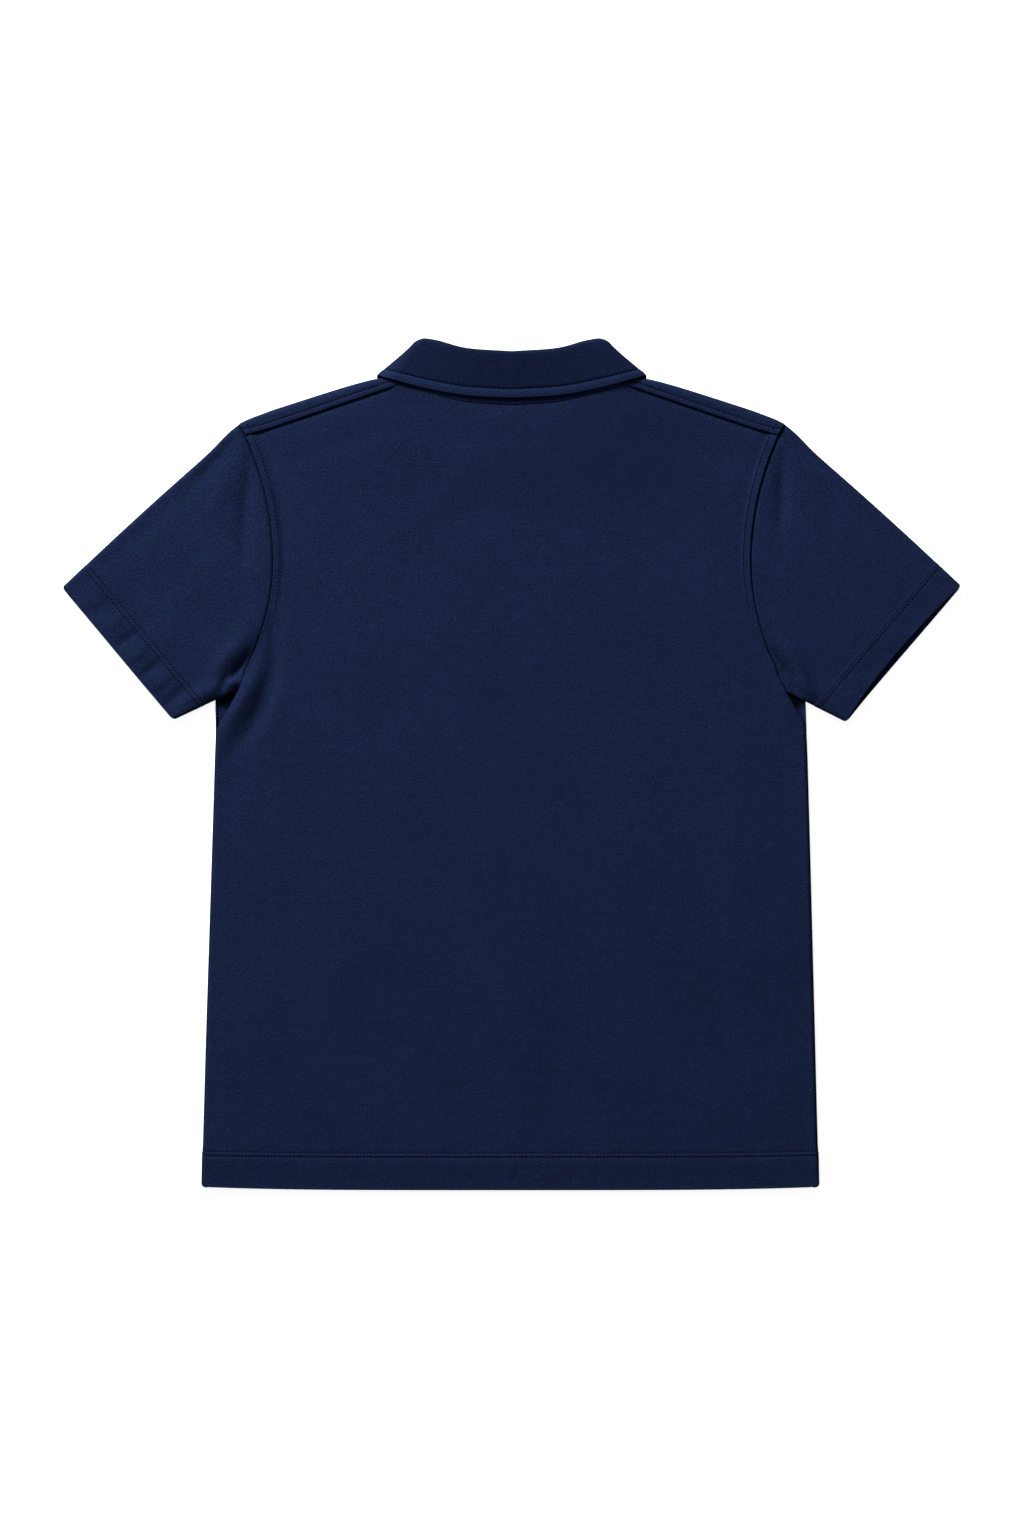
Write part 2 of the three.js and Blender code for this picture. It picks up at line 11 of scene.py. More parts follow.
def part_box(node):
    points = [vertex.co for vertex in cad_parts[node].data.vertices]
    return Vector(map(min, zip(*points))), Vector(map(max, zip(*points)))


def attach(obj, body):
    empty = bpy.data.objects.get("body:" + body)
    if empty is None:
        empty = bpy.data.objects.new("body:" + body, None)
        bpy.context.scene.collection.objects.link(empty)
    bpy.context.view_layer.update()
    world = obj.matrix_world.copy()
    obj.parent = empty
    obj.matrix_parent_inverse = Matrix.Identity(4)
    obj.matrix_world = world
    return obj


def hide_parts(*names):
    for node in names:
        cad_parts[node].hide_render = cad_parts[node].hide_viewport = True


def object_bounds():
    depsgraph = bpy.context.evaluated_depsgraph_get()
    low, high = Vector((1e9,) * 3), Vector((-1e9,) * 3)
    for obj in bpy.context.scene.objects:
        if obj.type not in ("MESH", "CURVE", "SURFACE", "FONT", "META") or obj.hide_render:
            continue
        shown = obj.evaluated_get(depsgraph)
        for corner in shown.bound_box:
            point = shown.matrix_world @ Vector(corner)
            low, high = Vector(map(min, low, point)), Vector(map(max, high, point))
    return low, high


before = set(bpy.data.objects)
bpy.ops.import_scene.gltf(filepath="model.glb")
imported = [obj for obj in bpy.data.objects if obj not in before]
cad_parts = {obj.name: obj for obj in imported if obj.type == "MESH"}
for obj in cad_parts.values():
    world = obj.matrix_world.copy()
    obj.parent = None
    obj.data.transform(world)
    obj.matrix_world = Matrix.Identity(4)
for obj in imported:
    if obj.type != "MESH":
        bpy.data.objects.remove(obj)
cad_low, cad_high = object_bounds()

# Driving sizes, the same as in the part's source
MILLIMETRE = 0.001
HEM_LINE = cad_low.y / MILLIMETRE  # where the hem is in the frame
HALF = 0.6  # half of one layer of cloth
NECK_GAP = 0.3
BODY_HEIGHT = 6
LOW = HALF
TOP = BODY_HEIGHT - HALF
OVER_COLLAR = 3.1
OVER_PLACKET = 7.1
HEM_DEPTH = 33
HEM_EXTRA = 1.1
HEM_RISE = 3.0
CORNER = 2.6  # rounding of the hem's and the cuffs' corners
BAND_WIDTH = 7
BAND_RAISE = 0.95
STRIP_RAISE = 0.9
COLLAR_HALF = 1.1
SLOT = 15.3
SLOT_FOOT = 498
ROLL_WIDTH = 5.4

# Outlines from the middle line: x and up
SIDE = np.array([(277.4, 0), (276.8, 30), (276, 38), (273.4, 135), (269.2, 279), (266, 387), (265.2, 408)])
ARMPIT_FOLD = [(265.2, 408), (262.6, 419), (255.8, 432), (248.2, 446), (239.2, 464)]
UNDERARM = (236.3, 454.5)
# the middle of the painted shade in the hollow below each sleeve: x and up
HOLLOW_SHADE_SPOT = (253, 441)
ARMHOLE_BACK = [
    UNDERARM, (239, 464), (229.4, 488), (221.2, 514), (216, 540), (214.3, 566),
    (215.6, 591), (219.6, 618), (227.2, 647), (238.6, 677.7), (243.8, 687),
]
ARMHOLE_FRONT = [
    UNDERARM, (226, 482), (211, 516), (204, 550), (202.5, 590), (209, 630), (225, 664), (243.8, 687),
]
SHOULDER = [
    (243.8, 687), (236.7, 691.8), (219.6, 699.2), (198, 706.4),
    (152, 720.6), (128, 727), (118, 729), (103.4, 732.6),
]
# Each cuff's corners, how far its upper layer bows in at the mouth, and the height of the ridge that stands
# in place of its inner row of stitches
CUFFS = [
    {
        "name": "sleeve_left", "sign": -1, "top": (404.4, 541.6), "bottom": (303.6, 423.0),
        "bow": 0, "ridge": 0,
    },
    {
        "name": "sleeve_right", "sign": 1, "top": (404.4, 542.9), "bottom": (301.6, 420.9),
        "bow": 5.2, "ridge": 0.3,
    },
]

# Collar sections from the centre back to the centre front: x and up of its neck edge, roll and leaf edge,
# and a level that is 1 on the back, 0 at the side and -1 on the front
COLLAR = np.array([
    (0, 705.3, 0, 753.2, 0, 711.4, 1),
    (44.5, 708.8, 42, 756.4, 44.5, 714.2, 1),
    (80, 718.4, 67, 763, 82, 721.4, 1),
    (98, 725.5, 79, 764.6, 106, 727.8, 1),
    (101.6, 730.4, 85.5, 763, 114.5, 730.2, 0.7),
    (102.8, 733.2, 88.8, 759, 120.2, 732.2, 0),
    (101.8, 730, 86.5, 752, 120.8, 729.4, -0.72),
    (98, 722, 79, 742, 117, 722.5, -1),
    (84, 688, 58, 712, 95, 677, -1),
    (52, 659, 32, 688, 71, 641, -1),
    (1.2, 648, 1.2, 670, 46, 611, -1),
])
LAST = len(COLLAR) - 1
LEVELS = {"neck": (3.7, 12.5), "stand": (5.6, 12.9), "leaf": (1.1, 18.5), "edge": (1.1, 15.1)}

# Rows of the panels: where each leaves the armhole, as a share of it, and where it ends
BACK_UPS = [(0.0387, 466), (0.12, 500), (0.28, 572), (0.44, 640), (0.53, 674), (0.62, None)]
BACK_SECTIONS = [
    (0.62, 0), (0.68, 0.4), (0.74, 0.8), (0.8, 1.2), (0.85, 1.6), (0.89, 2), (0.925, 2.4), (0.958, 3),
]
FRONT_UPS = [(0.05, 476), (0.11, SLOT_FOOT), (0.24, 552), (0.38, 606), (0.45, 630), (0.52, None)]
FRONT_SECTIONS = [
    (0.52, 9.72), (0.64, 9), (0.76, 8.2), (0.87, 7.4), (0.955, 6.7), (0.984, 6.3), (0.994, 5.7), (1, 5),
]
STRIP_SECTIONS = [(1, 5), (0.994, 4.3), (0.984, 3.7), (0.958, 3)]
ROLL_SHARE = 0.016
SEAM_SHARE = 0.958

# Soft folds of the upper layer, which are in the solids too: x, up, direction in degrees, half length,
# half width, height and bend
FOLDS = [
    (-230, 476, 62, 34, 9, -0.9, 0),
    (232, 474, 116, 34, 9, -0.9, 0),
    (-252, 486, 60, 32, 9, 1.5, 0),
    (256, 482, 118, 32, 10, 1.4, 0),
    (-240, 585, 90, 46, 11, -0.9, 0),
    (242, 620, 92, 40, 12, -0.9, 0),
    (-252, 360, 86, 70, 14, -0.8, 0),
    (250, 350, 94, 80, 15, -0.7, 0),
    (-110, 290, 82, 190, 40, 0.7, 0),
    (125, 250, 98, 180, 45, 0.7, 0),
]

# Stitch lines, from the edge that each follows
HEM_STITCHES = (28.9, 32.9)
CUFF_STITCHES = (25.6, 30.2)
BAND_STITCH = 5.9
STRIP_STITCH = 4.6
LEAF_STITCH = 7.8
STAND_STITCH = 3.4

# Grids of the meshes
GRID = 4.2
FINE = (-1.9, -1.2, -0.75, -0.4, 0, 0.4, 0.75, 1.2, 1.9)  # places on both sides of a groove


def mix(a, b, share):
    return a + (b - a) * share


def rise(value, start, end):
    share = np.clip((value - start) / (end - start), 0, 1)
    return share * share * (3 - 2 * share)


def fade(value, start, end):
    return 1 - rise(value, start, end)


def bell(value, width):
    return np.exp(-((value / width) ** 2))


def turned(distance, reach):
    """How far a layer has turned towards the other at this distance from a folded edge: 1 at the edge."""
    share = np.clip(1 - distance / reach, 0, 1)
    return 1 - np.sqrt(1 - share**2)


def refined(start, end, step, grooves=()):
    """Even places from start to end, with close ones round each groove."""
    places = np.linspace(start, end, 1 + max(1, round(abs(end - start) / step)))
    for groove in grooves:
        places = places[np.abs(places - groove) > FINE[-1] + 0.4]
    ends = places[(places == start) | (places == end)]
    close = [groove + offset for groove in grooves for offset in FINE]
    return np.unique(np.concatenate([ends, places, close]))


class Curve:
    """A centripetal Catmull-Rom curve through points."""

    def __init__(self, points, steps=64):
        p = np.array(points, float)
        p = np.vstack([2 * p[0] - p[1], p, 2 * p[-1] - p[-2]])
        a, b, c, d = p[:-3, None], p[1:-2, None], p[2:-1, None], p[3:, None]
        ab, bc, cd = (
            np.sqrt(np.linalg.norm(v - u, axis=-1, keepdims=True)) for u, v in ((a, b), (b, c), (c, d))
        )
        leave = ((b - a) / ab - (c - a) / (ab + bc) + (c - b) / bc) * bc
        arrive = ((c - b) / bc - (d - b) / (bc + cd) + (d - c) / cd) * bc
        w = np.linspace(0, 1, steps, endpoint=False)[None, :, None]
        line = (
            b + leave * w + (3 * (c - b) - 2 * leave - arrive) * w**2
            + (2 * (b - c) + leave + arrive) * w**3
        )
        self.points = np.vstack([line.reshape(-1, p.shape[1]), p[-2]])
        lengths = np.cumsum(np.r_[0, np.linalg.norm(np.diff(self.points, axis=0), axis=1)])
        self.length = lengths[-1]
        self.shares = lengths / self.length
        self.even = np.linspace(0, 1, len(self.points))

    def at(self, t):
        return np.stack([np.interp(t, self.even, axis) for axis in self.points.T], -1)

    def along(self, share):
        return np.stack([np.interp(share, self.shares, axis) for axis in self.points.T], -1)

    def outward(self, share):
        """The unit direction to the right of the curve, in its plane."""
        share = np.asarray(share, float)
        run = self.along(np.minimum(share + 0.004, 1)) - self.along(np.maximum(share - 0.004, 0))
        across = np.stack([run[..., 1], -run[..., 0]], -1)
        return across / np.linalg.norm(run[..., :2], axis=-1, keepdims=True)


armpit_fold = Curve(ARMPIT_FOLD)
armhole_back = Curve(ARMHOLE_BACK)
armhole_front = Curve(ARMHOLE_FRONT)
shoulder = Curve(SHOULDER)
collar_curves = {
    line: Curve(COLLAR[:, [2 * i, 2 * i + 1, 6]]) for i, line in enumerate(("neck", "roll", "edge"))
}


def collar_point(line, section, levels):
    point = collar_curves[line].at(np.asarray(section, float) / LAST)
    front, back = LEVELS[levels]
    point[..., 2] = mix(front, back, (np.clip(point[..., 2], -1, 1) + 1) / 2)
    return point


def unit(vectors):
    return vectors / np.maximum(np.linalg.norm(vectors, axis=-1, keepdims=True), 1e-9)


def neckline(section):
    """A panel's neckline lies a gap beyond the collar's own edge."""
    neck = collar_point("neck", section, "neck")
    return neck + unit(neck - collar_point("roll", section, "neck")) * NECK_GAP


NECK_BACK = neckline(0)[1]
PLACKET_TOP = neckline(LAST)[1]
FRONT_PART = COLLAR[COLLAR[:, 6] <= 0]
LEAF_OUTLINE = np.vstack([FRONT_PART[:, 4:6], FRONT_PART[::-1, 2:4]])
PLACKET_OUTLINE = np.array([(-1, SLOT_FOOT), (18, SLOT_FOOT), (18, PLACKET_TOP + 20), (-1, PLACKET_TOP + 20)])


def distance_outside(outline, x, y):
    inside = np.zeros(np.shape(x), bool)
    nearest = np.full(np.shape(x), np.inf)
    for (ax, ay), (bx, by) in zip(outline, np.roll(outline, -1, axis=0)):
        along = (x - ax) * (bx - ax) + (y - ay) * (by - ay)
        share = np.clip(along / ((bx - ax) ** 2 + (by - ay) ** 2), 0, 1)
        nearest = np.minimum(nearest, np.hypot(x - mix(ax, bx, share), y - mix(ay, by, share)))
        if by != ay:
            inside ^= ((ay > y) != (by > y)) & (x < (bx - ax) * (y - ay) / (by - ay) + ax)
    return np.where(inside, 0, nearest)


# Creases that only the looks have, in the same columns as the folds
BACK_CREASES = [
    (-220.5, 442, 70.6, 42, 7, -4.8, -0.0034),
    (-214, 488, 93, 22, 5, -1.4, 0),
    (-242, 439, 64, 38, 8, 4.2, -0.0012),
    (226, 452, 112, 40, 12, -0.9, 0),
    (247, 440, 119, 38, 8, 2.4, 0),
    (-160, 560, 74, 60, 22, -0.7, 0.0006),
    (150, 590, 104, 66, 24, -0.7, -0.0005),
    (-62, 620, 50, 55, 16, 0.6, 0.0008),
    (70, 612, 132, 48, 18, 0.6, -0.001),
    (-196, 250, 88, 90, 12, -0.6, 0.0003),
    (-160, 190, 80, 80, 16, 0.6, -0.0002),
    (185, 205, 96, 95, 13, -0.6, 0.0002),
    (40, 160, 86, 90, 20, -0.6, 0.0003),
    (-40, 380, 94, 110, 24, 0.6, 0.0002),
    (92, 440, 78, 90, 20, -0.6, -0.0003),
    (-120, 420, 70, 60, 15, -0.5, 0.0006),
    (200, 330, 88, 60, 10, 0.5, 0.0005),
    (0, 676, 0, 70, 10, -0.6, -0.0006),
    (-150, 672, 16, 48, 9, -0.5, 0.0004),
    (156, 668, 164, 52, 10, -0.5, -0.0004),
    (-205, 62, 84, 24, 9, -0.35, 0),
    (-90, 56, 92, 20, 12, 0.35, 0),
    (60, 60, 88, 22, 10, -0.35, 0),
    (170, 58, 96, 24, 11, 0.35, 0),
]
SLEEVE_CREASES = [
    (-239.5, 614, 86, 44, 6, -2.6, 0.0006),
    (243.5, 627, 88, 30, 5.5, -2.8, -0.0006),
    (-266, 656, 47, 30, 7, -2.1, 0),
    (264, 662, 136, 26, 7, -2.0, 0),
    (-262, 625, 62, 40, 9, 0.9, 0),
    (262, 628, 118, 36, 9, 0.8, 0),
    (-330, 594, 42, 60, 9, -0.6, 0),
    (334, 594, 138, 60, 9, -0.6, 0),
    (-252, 481, 47, 28, 8, 2.4, 0),
    (-244.5, 469, 55, 17, 3.6, -3.2, 0),
    (-258, 456.5, 66, 8, 3.6, -2.6, 0),
    (-250.5, 455.5, 20, 4.5, 3.6, 2.8, 0),
    (-268, 450, 24, 22, 7, 3.2, 0),
    (-276, 462, 38, 30, 8, -0.6, 0.001),
    (250, 463, 118, 24, 2.6, -3.4, -0.005),
    (258, 469, 119, 28, 5, 4.2, -0.003),
    (241, 464, 121, 18, 4, -1.2, 0),
    (243, 471, 60, 5, 1.6, 0.7, 0),
    (264, 452, 150, 20, 7, 2.6, 0),
    (282, 466, 140, 34, 9, -0.5, 0.001),
    (-300, 520, 66, 42, 13, 0.8, 0.0006),
    (304, 532, 112, 46, 14, 0.8, -0.0006),
    (-352, 520, 50, 30, 9, -0.5, 0.0008),
    (350, 516, 132, 32, 9, -0.5, -0.0008),
    (-285, 570, 80, 40, 12, -0.6, 0.0008),
    (290, 566, 98, 42, 13, -0.6, -0.0008),
]
# Soft cross ripples of each cuff's band: place along the cuff from its bottom, half width and height
CUFF_RIPPLES = {
    "sleeve_left": [
        (14, 5, -1.5), (33, 5, 1.2), (47, 4.5, -1.4), (66, 6, 1.3),
        (82, 4.5, -1.5), (101, 6, 1.2), (118, 6, -1),
    ],
    "sleeve_right": [(22, 7, 0.5), (48, 8, -0.6), (81, 9, 0.5), (118, 8, -0.5)],
}
# The front lies on the surface, so its creases only lift it
FRONT_CREASES = [
    (-236, 450, 66, 40, 8, 0.9, 0.001),
    (238, 448, 114, 44, 8, 0.8, -0.001),
    (-204, 430, 70, 70, 9, 0.7, 0.0006),
    (206, 420, 112, 64, 10, 0.8, -0.0005),
    (-150, 520, 120, 46, 9, 0.6, 0.001),
    (152, 526, 62, 50, 9, 0.6, -0.001),
    (-70, 452, 104, 60, 8, 0.7, 0.0008),
    (62, 440, 74, 66, 9, 0.7, -0.0006),
    (0, 400, 90, 80, 7, 0.6, 0.0003),
    (-180, 260, 84, 110, 10, 0.8, 0.0003),
    (176, 235, 98, 100, 11, 0.8, -0.0003),
    (-100, 150, 80, 70, 9, 0.6, 0.0004),
    (84, 170, 94, 84, 9, 0.7, 0.0002),
    (-238, 120, 90, 80, 8, 0.6, 0),
    (240, 150, 88, 90, 8, 0.6, 0),
    (20, 240, 100, 60, 10, 0.5, 0.0005),
    (-40, 310, 76, 70, 9, 0.5, -0.0004),
]


def relief(x, y, creases):
    total = np.zeros(np.shape(x))
    for cx, up, turn, long, wide, high, bend in creases:
        cos, sin = math.cos(math.radians(turn)), math.sin(math.radians(turn))
        along = (x - cx) * cos + (y - up) * sin
        across = (y - up) * cos - (x - cx) * sin + bend * along**2
        total += high * bell(along, long) * bell(across, wide)
    return total


def top_level(x, y):
    over_collar = (LEVELS["neck"][1] - TOP) * fade(np.hypot(x / 1.25, y - 760), 62, 190)
    over_placket = (OVER_PLACKET - TOP) * fade(distance_outside(PLACKET_OUTLINE, np.abs(x), y), 5, 70)
    return TOP + np.maximum(over_collar, over_placket) + relief(x, y, FOLDS)


def low_level(x, y):
    to_leaf = distance_outside(LEAF_OUTLINE, np.abs(x), y)
    to_placket = distance_outside(PLACKET_OUTLINE, np.abs(x), y)
    return LOW + (OVER_COLLAR - LOW) * fade(np.minimum(to_leaf, to_placket), 22, 52)


def groove(distance, depth=0.36, width=0.8):
    return depth * bell(distance, width)


def above(level, floor, soft=0.3):
    """The level, eased so that it never comes below the floor."""
    return floor + soft * np.logaddexp(0, (level - floor) / soft)


def lean(points):
    """The shirt lies a little to the left below its armholes, and its shoulders' tips reach out."""
    x, up = points[:, 0].copy(), points[:, 1].copy()
    points[:, 0] -= 1.2 * fade(up, 440, 540) + 0.8 * fade(up, 40, 400)
    points[:, 0] += 1.4 * np.clip(x / 250, 0, 1) * fade(up, 400, 450)
    points[:, 1] -= 0.7 * fade(up, 0, 60)
    tip = bell(np.hypot(np.abs(x) - 252, up - 681), 20)
    points[:, 0] += 1.5 * np.sign(x) * tip
    points[:, 1] += 1.7 * tip
    return points


# Meshes
def write_mesh(name, points, faces, cloth=None):
    """An object from points in the shirt's plane, none of which goes below the surface that it lies on.

    cloth has a place on the cloth for each face's corner.
    """
    shift = np.array([0, HEM_LINE, 0])
    points = np.maximum(points, [-np.inf, -np.inf, 0])
    mesh = bpy.data.meshes.new(name)
    mesh.from_pydata(((points + shift) * MILLIMETRE).tolist(), [], [list(f) for f in faces])
    if cloth is not None:
        layer = mesh.uv_layers.new(name="cloth")
        layer.data.foreach_set("uv", (np.asarray(cloth) * MILLIMETRE).astype(np.float32).ravel())
    mesh.shade_smooth()
    piece = bpy.data.objects.new(name, mesh)
    bpy.context.scene.collection.objects.link(piece)
    return piece


class Wall:
    """Cloth from its middle surface, given as grids, with a thickness on each side and rounded rims."""

    RIM_STEPS = 4

    def __init__(self, bulge=0.45):
        self.bulge = bulge
        self.grids = []

    def patch(self, points, outer, inner, cloth, upright=False, turned_over=False):
        shape = points.shape[:2]
        self.grids.append({
            "points": points.reshape(-1, 3),
            "outer": np.broadcast_to(outer, shape).ravel(),
            "inner": np.broadcast_to(inner, shape).ravel(),
            "upright": np.broadcast_to(upright, shape).ravel(),
            "cloth": cloth.reshape(-1, 2),
            "shape": shape,
            "turned_over": turned_over,
        })
        return self

    def quads(self):
        found, count = [], 0
        for grid in self.grids:
            rows, columns = grid["shape"]
            index = np.arange(rows * columns).reshape(rows, columns) + count
            quad = [index[:-1, :-1], index[:-1, 1:], index[1:, 1:], index[1:, :-1]]
            quad = np.stack(quad, -1).reshape(-1, 4)
            found.append(quad[:, ::-1] if grid["turned_over"] else quad)
            count += rows * columns
        return np.concatenate(found)

    def build(self, name):
        joined = {key: np.concatenate([g[key] for g in self.grids])
                  for key in ("points", "outer", "inner", "upright", "cloth")}
        raw = self.quads()
        keys = np.round(joined["points"] * 200).astype(np.int64)
        _, first, merged = np.unique(keys, axis=0, return_index=True, return_inverse=True)
        quads = merged.ravel()[raw]
        points, outer, inner = joined["points"][first], joined["outer"][first], joined["inner"][first]
        upright, cloth = joined["upright"][first], joined["cloth"][first]
        corners = points[quads]
        faced = np.cross(corners[:, 2] - corners[:, 0], corners[:, 3] - corners[:, 1])
        normals = np.zeros_like(points)
        for i in range(4):
            np.add.at(normals, quads[:, i], faced)
        normals[upright, 2] = 0
        normals = unit(normals)

        edges = np.concatenate([quads[:, [i, (i + 1) % 4]] for i in range(4)])
        count = len(points)
        rim = edges[~np.isin(edges[:, 0] * count + edges[:, 1], edges[:, 1] * count + edges[:, 0])]
        outward = np.zeros_like(points)
        for end in (0, 1):
            away = unit(np.cross(points[rim[:, 1]] - points[rim[:, 0]], normals[rim[:, end]]))
            np.add.at(outward, rim[:, end], away)
        on_rim = np.unique(rim)
        place = np.full(count, -1)
        place[on_rim] = np.arange(len(on_rim))
        out, up = unit(outward[on_rim]), normals[on_rim]
        middle = points[on_rim] + up * ((outer - inner) / 2)[on_rim, None]
        radius = ((outer + inner) / 2)[on_rim, None]
        rings = [on_rim]
        levels = [points + normals * outer[:, None], points - normals * inner[:, None]]
        for step in range(1, self.RIM_STEPS):
            angle = math.pi * step / self.RIM_STEPS
            risen = up * radius * math.cos(angle)
            levels.append(middle + risen + out * radius * self.bulge * math.sin(angle))
            rings.append(2 * count + (step - 1) * len(on_rim) + np.arange(len(on_rim)))
        rings.append(on_rim + count)
        faces = [quads, quads[:, ::-1] + count]
        laid = [joined["cloth"][raw], joined["cloth"][raw][:, ::-1]]
        start, end = place[rim[:, 0]], place[rim[:, 1]]
        for near, far in zip(rings, rings[1:]):
            faces.append(np.stack([near[end], near[start], far[start], far[end]], -1))
            laid.append(cloth[np.stack([rim[:, 1], rim[:, 0], rim[:, 0], rim[:, 1]], -1)])
        places = np.concatenate(levels)
        lean(places)
        return write_mesh(name, places, np.concatenate(faces), np.concatenate(laid))


def cuff_lines(cuff):
    """A cuff's bottom and top corner, and the directions along it and into the sleeve."""
    bottom, top = np.array(cuff["bottom"]), np.array(cuff["top"])
    along = unit(top - bottom)
    return bottom, top, along, np.array([-along[1], along[0]])


# Rows of the two panels
EDGE_COLUMNS = np.array([
    0, 0.12, 0.3, 0.6, 1.1, 1.8, 2.6, 3.4, 4.0, 4.6, 5.1, 5.5, 5.9, 6.3, 6.7, 7.1, 7.7, 8.4, 9.4, 11.5,
])
MIDDLE_COLUMNS = 62
ROLL_REACH = 2.6


def side_places(ups):
    x = np.interp(ups, SIDE[:, 1], SIDE[:, 0]) - HALF / 2 - CORNER * turned(ups, CORNER)
    return np.stack([x, ups], -1)


def table_rows(rows, step, length):
    """Dense rows through a short table of armhole share against a second value."""
    shares, values = np.array(rows, float).T
    order = np.argsort(shares)
    count = 1 + max(1, round(abs(shares[-1] - shares[0]) * length / step))
    dense = np.linspace(shares[0], shares[-1], count)
    return dense, np.interp(dense, shares[order], values[order])


def shoulder_bow(share):
    straight = mix(shoulder.at(0), shoulder.at(1), share[..., None])
    return shoulder.along(share) - straight


def hem_lift(x, up):
    return HEM_RISE * fade(up, 0, 70) * (np.abs(x) / SIDE[0, 0]) ** 4


def spread(start, finish, bow):
    """Places along straight rows from the outer edge: plane place, distance from the edge and to the end."""
    width = np.linalg.norm(finish[:, :2] - start, axis=1)[:, None]
    first = EDGE_COLUMNS[-1] / width
    even = np.linspace(0, 1, MIDDLE_COLUMNS + 1)[1:]
    share = np.hstack([EDGE_COLUMNS / width, first + (1 - first) * even])
    flat = mix(start[:, None], finish[:, None, :2], share[..., None])
    flat = flat + shoulder_bow(share) * bow[:, None, None]
    at = flat.copy()
    at[..., 1] += hem_lift(flat[..., 0], flat[..., 1])
    return at, flat, share * width, (1 - share) * width


def stack(*zones):
    """Joins zones of rows, each a dict of columns, and fills columns that a zone leaves out with 0."""
    keys = {key for zone in zones for key in zone}
    joined = {}
    for key in keys:
        shape = next(z[key].shape[1:] for z in zones if key in z)
        joined[key] = np.concatenate([
            np.asarray(z[key], float) if key in z else np.zeros((len(z["start"]), *shape)) for z in zones
        ])
    return joined


def flat_end(x, ups):
    return np.stack([np.full(len(ups), float(x)), ups, np.zeros(len(ups))], -1)


def hem_inside(up, distance):
    return HEM_EXTRA * fade(up, HEM_DEPTH, HEM_DEPTH + 2) * rise(distance, ROLL_REACH, 2 * ROLL_REACH)


def twin_needle(distance, lines, depth=0.42):
    """How far two rows of stitches sink the cloth, and how it puffs between and beside them."""
    sunk = sum(groove(distance - line, depth) for line in lines)
    middle = (lines[0] + lines[1]) / 2
    return sunk - 0.4 * depth * (bell(distance - middle, 0.8) + bell(distance - lines[0] + 3.4, 2))


SEAM_START = armhole_back.along(SEAM_SHARE)
SEAM_END = neckline(3)[:2]
SEAM_SIDE = unit(np.array([SEAM_START[1] - SEAM_END[1], SEAM_END[0] - SEAM_START[0]]))
SEAM_SIDE = SEAM_SIDE * np.sign(SEAM_SIDE[1])


def above_seam(x, up):
    """How far a place is above the shoulder seam."""
    return (np.abs(x) - SEAM_START[0]) * SEAM_SIDE[0] + (up - SEAM_START[1]) * SEAM_SIDE[1]


SIDE_UPS = refined(0, 408, GRID, HEM_STITCHES)
SIDE_UPS = np.unique(np.r_[0, 0.25, 0.6, 1.1, 1.8, 2.6, SIDE_UPS])


def back_lines():
    ones = np.ones
    fold_shares = np.linspace(0, 1, 18)[1:]
    ups = [(s, NECK_BACK if v is None else v) for s, v in BACK_UPS]
    share, up = table_rows(ups, GRID, armhole_back.length)
    share, up = share[1:], up[1:]
    neck_share, section = table_rows(BACK_SECTIONS, GRID * 0.75, armhole_back.length)
    neck_share, section = neck_share[1:], section[1:]
    bow = lambda s: 0.7 * rise(s, 0.6, 0.9) * fade(s, 0.925, SEAM_SHARE)
    near_neck = rise(up, 674, NECK_BACK)
    finish = flat_end(0, up)
    finish[:, 2] = LEVELS["neck"][1]
    return stack(
        {"start": side_places(SIDE_UPS) - [0.9, 0], "finish": flat_end(0, SIDE_UPS),
         "seam": ones(len(SIDE_UPS))},
        {"start": armpit_fold.along(fold_shares), "finish": flat_end(0, mix(408, 466, fold_shares)),
         "fold": ones(len(fold_shares))},
        {"start": armhole_back.along(share), "finish": finish, "bow": bow(share), "neck": near_neck,
         "armhole": rise(share, 0.2, 0.55), "lip": rise(share, 0.0387, 0.2)},
        {"start": armhole_back.along(neck_share), "finish": neckline(section), "bow": bow(neck_share),
         "neck": ones(len(section)), "armhole": ones(len(section)), "lip": ones(len(section))},
    )


ARMPIT_INSET = 2.4  # the left armpit's fold lies a little further in than the right one's

# The back's top edge goes on under the front's strip: how far, and how much lower
TUCKS = [(0.5, 0.5), (1.3, 1.0), (3.2, 1.25)]


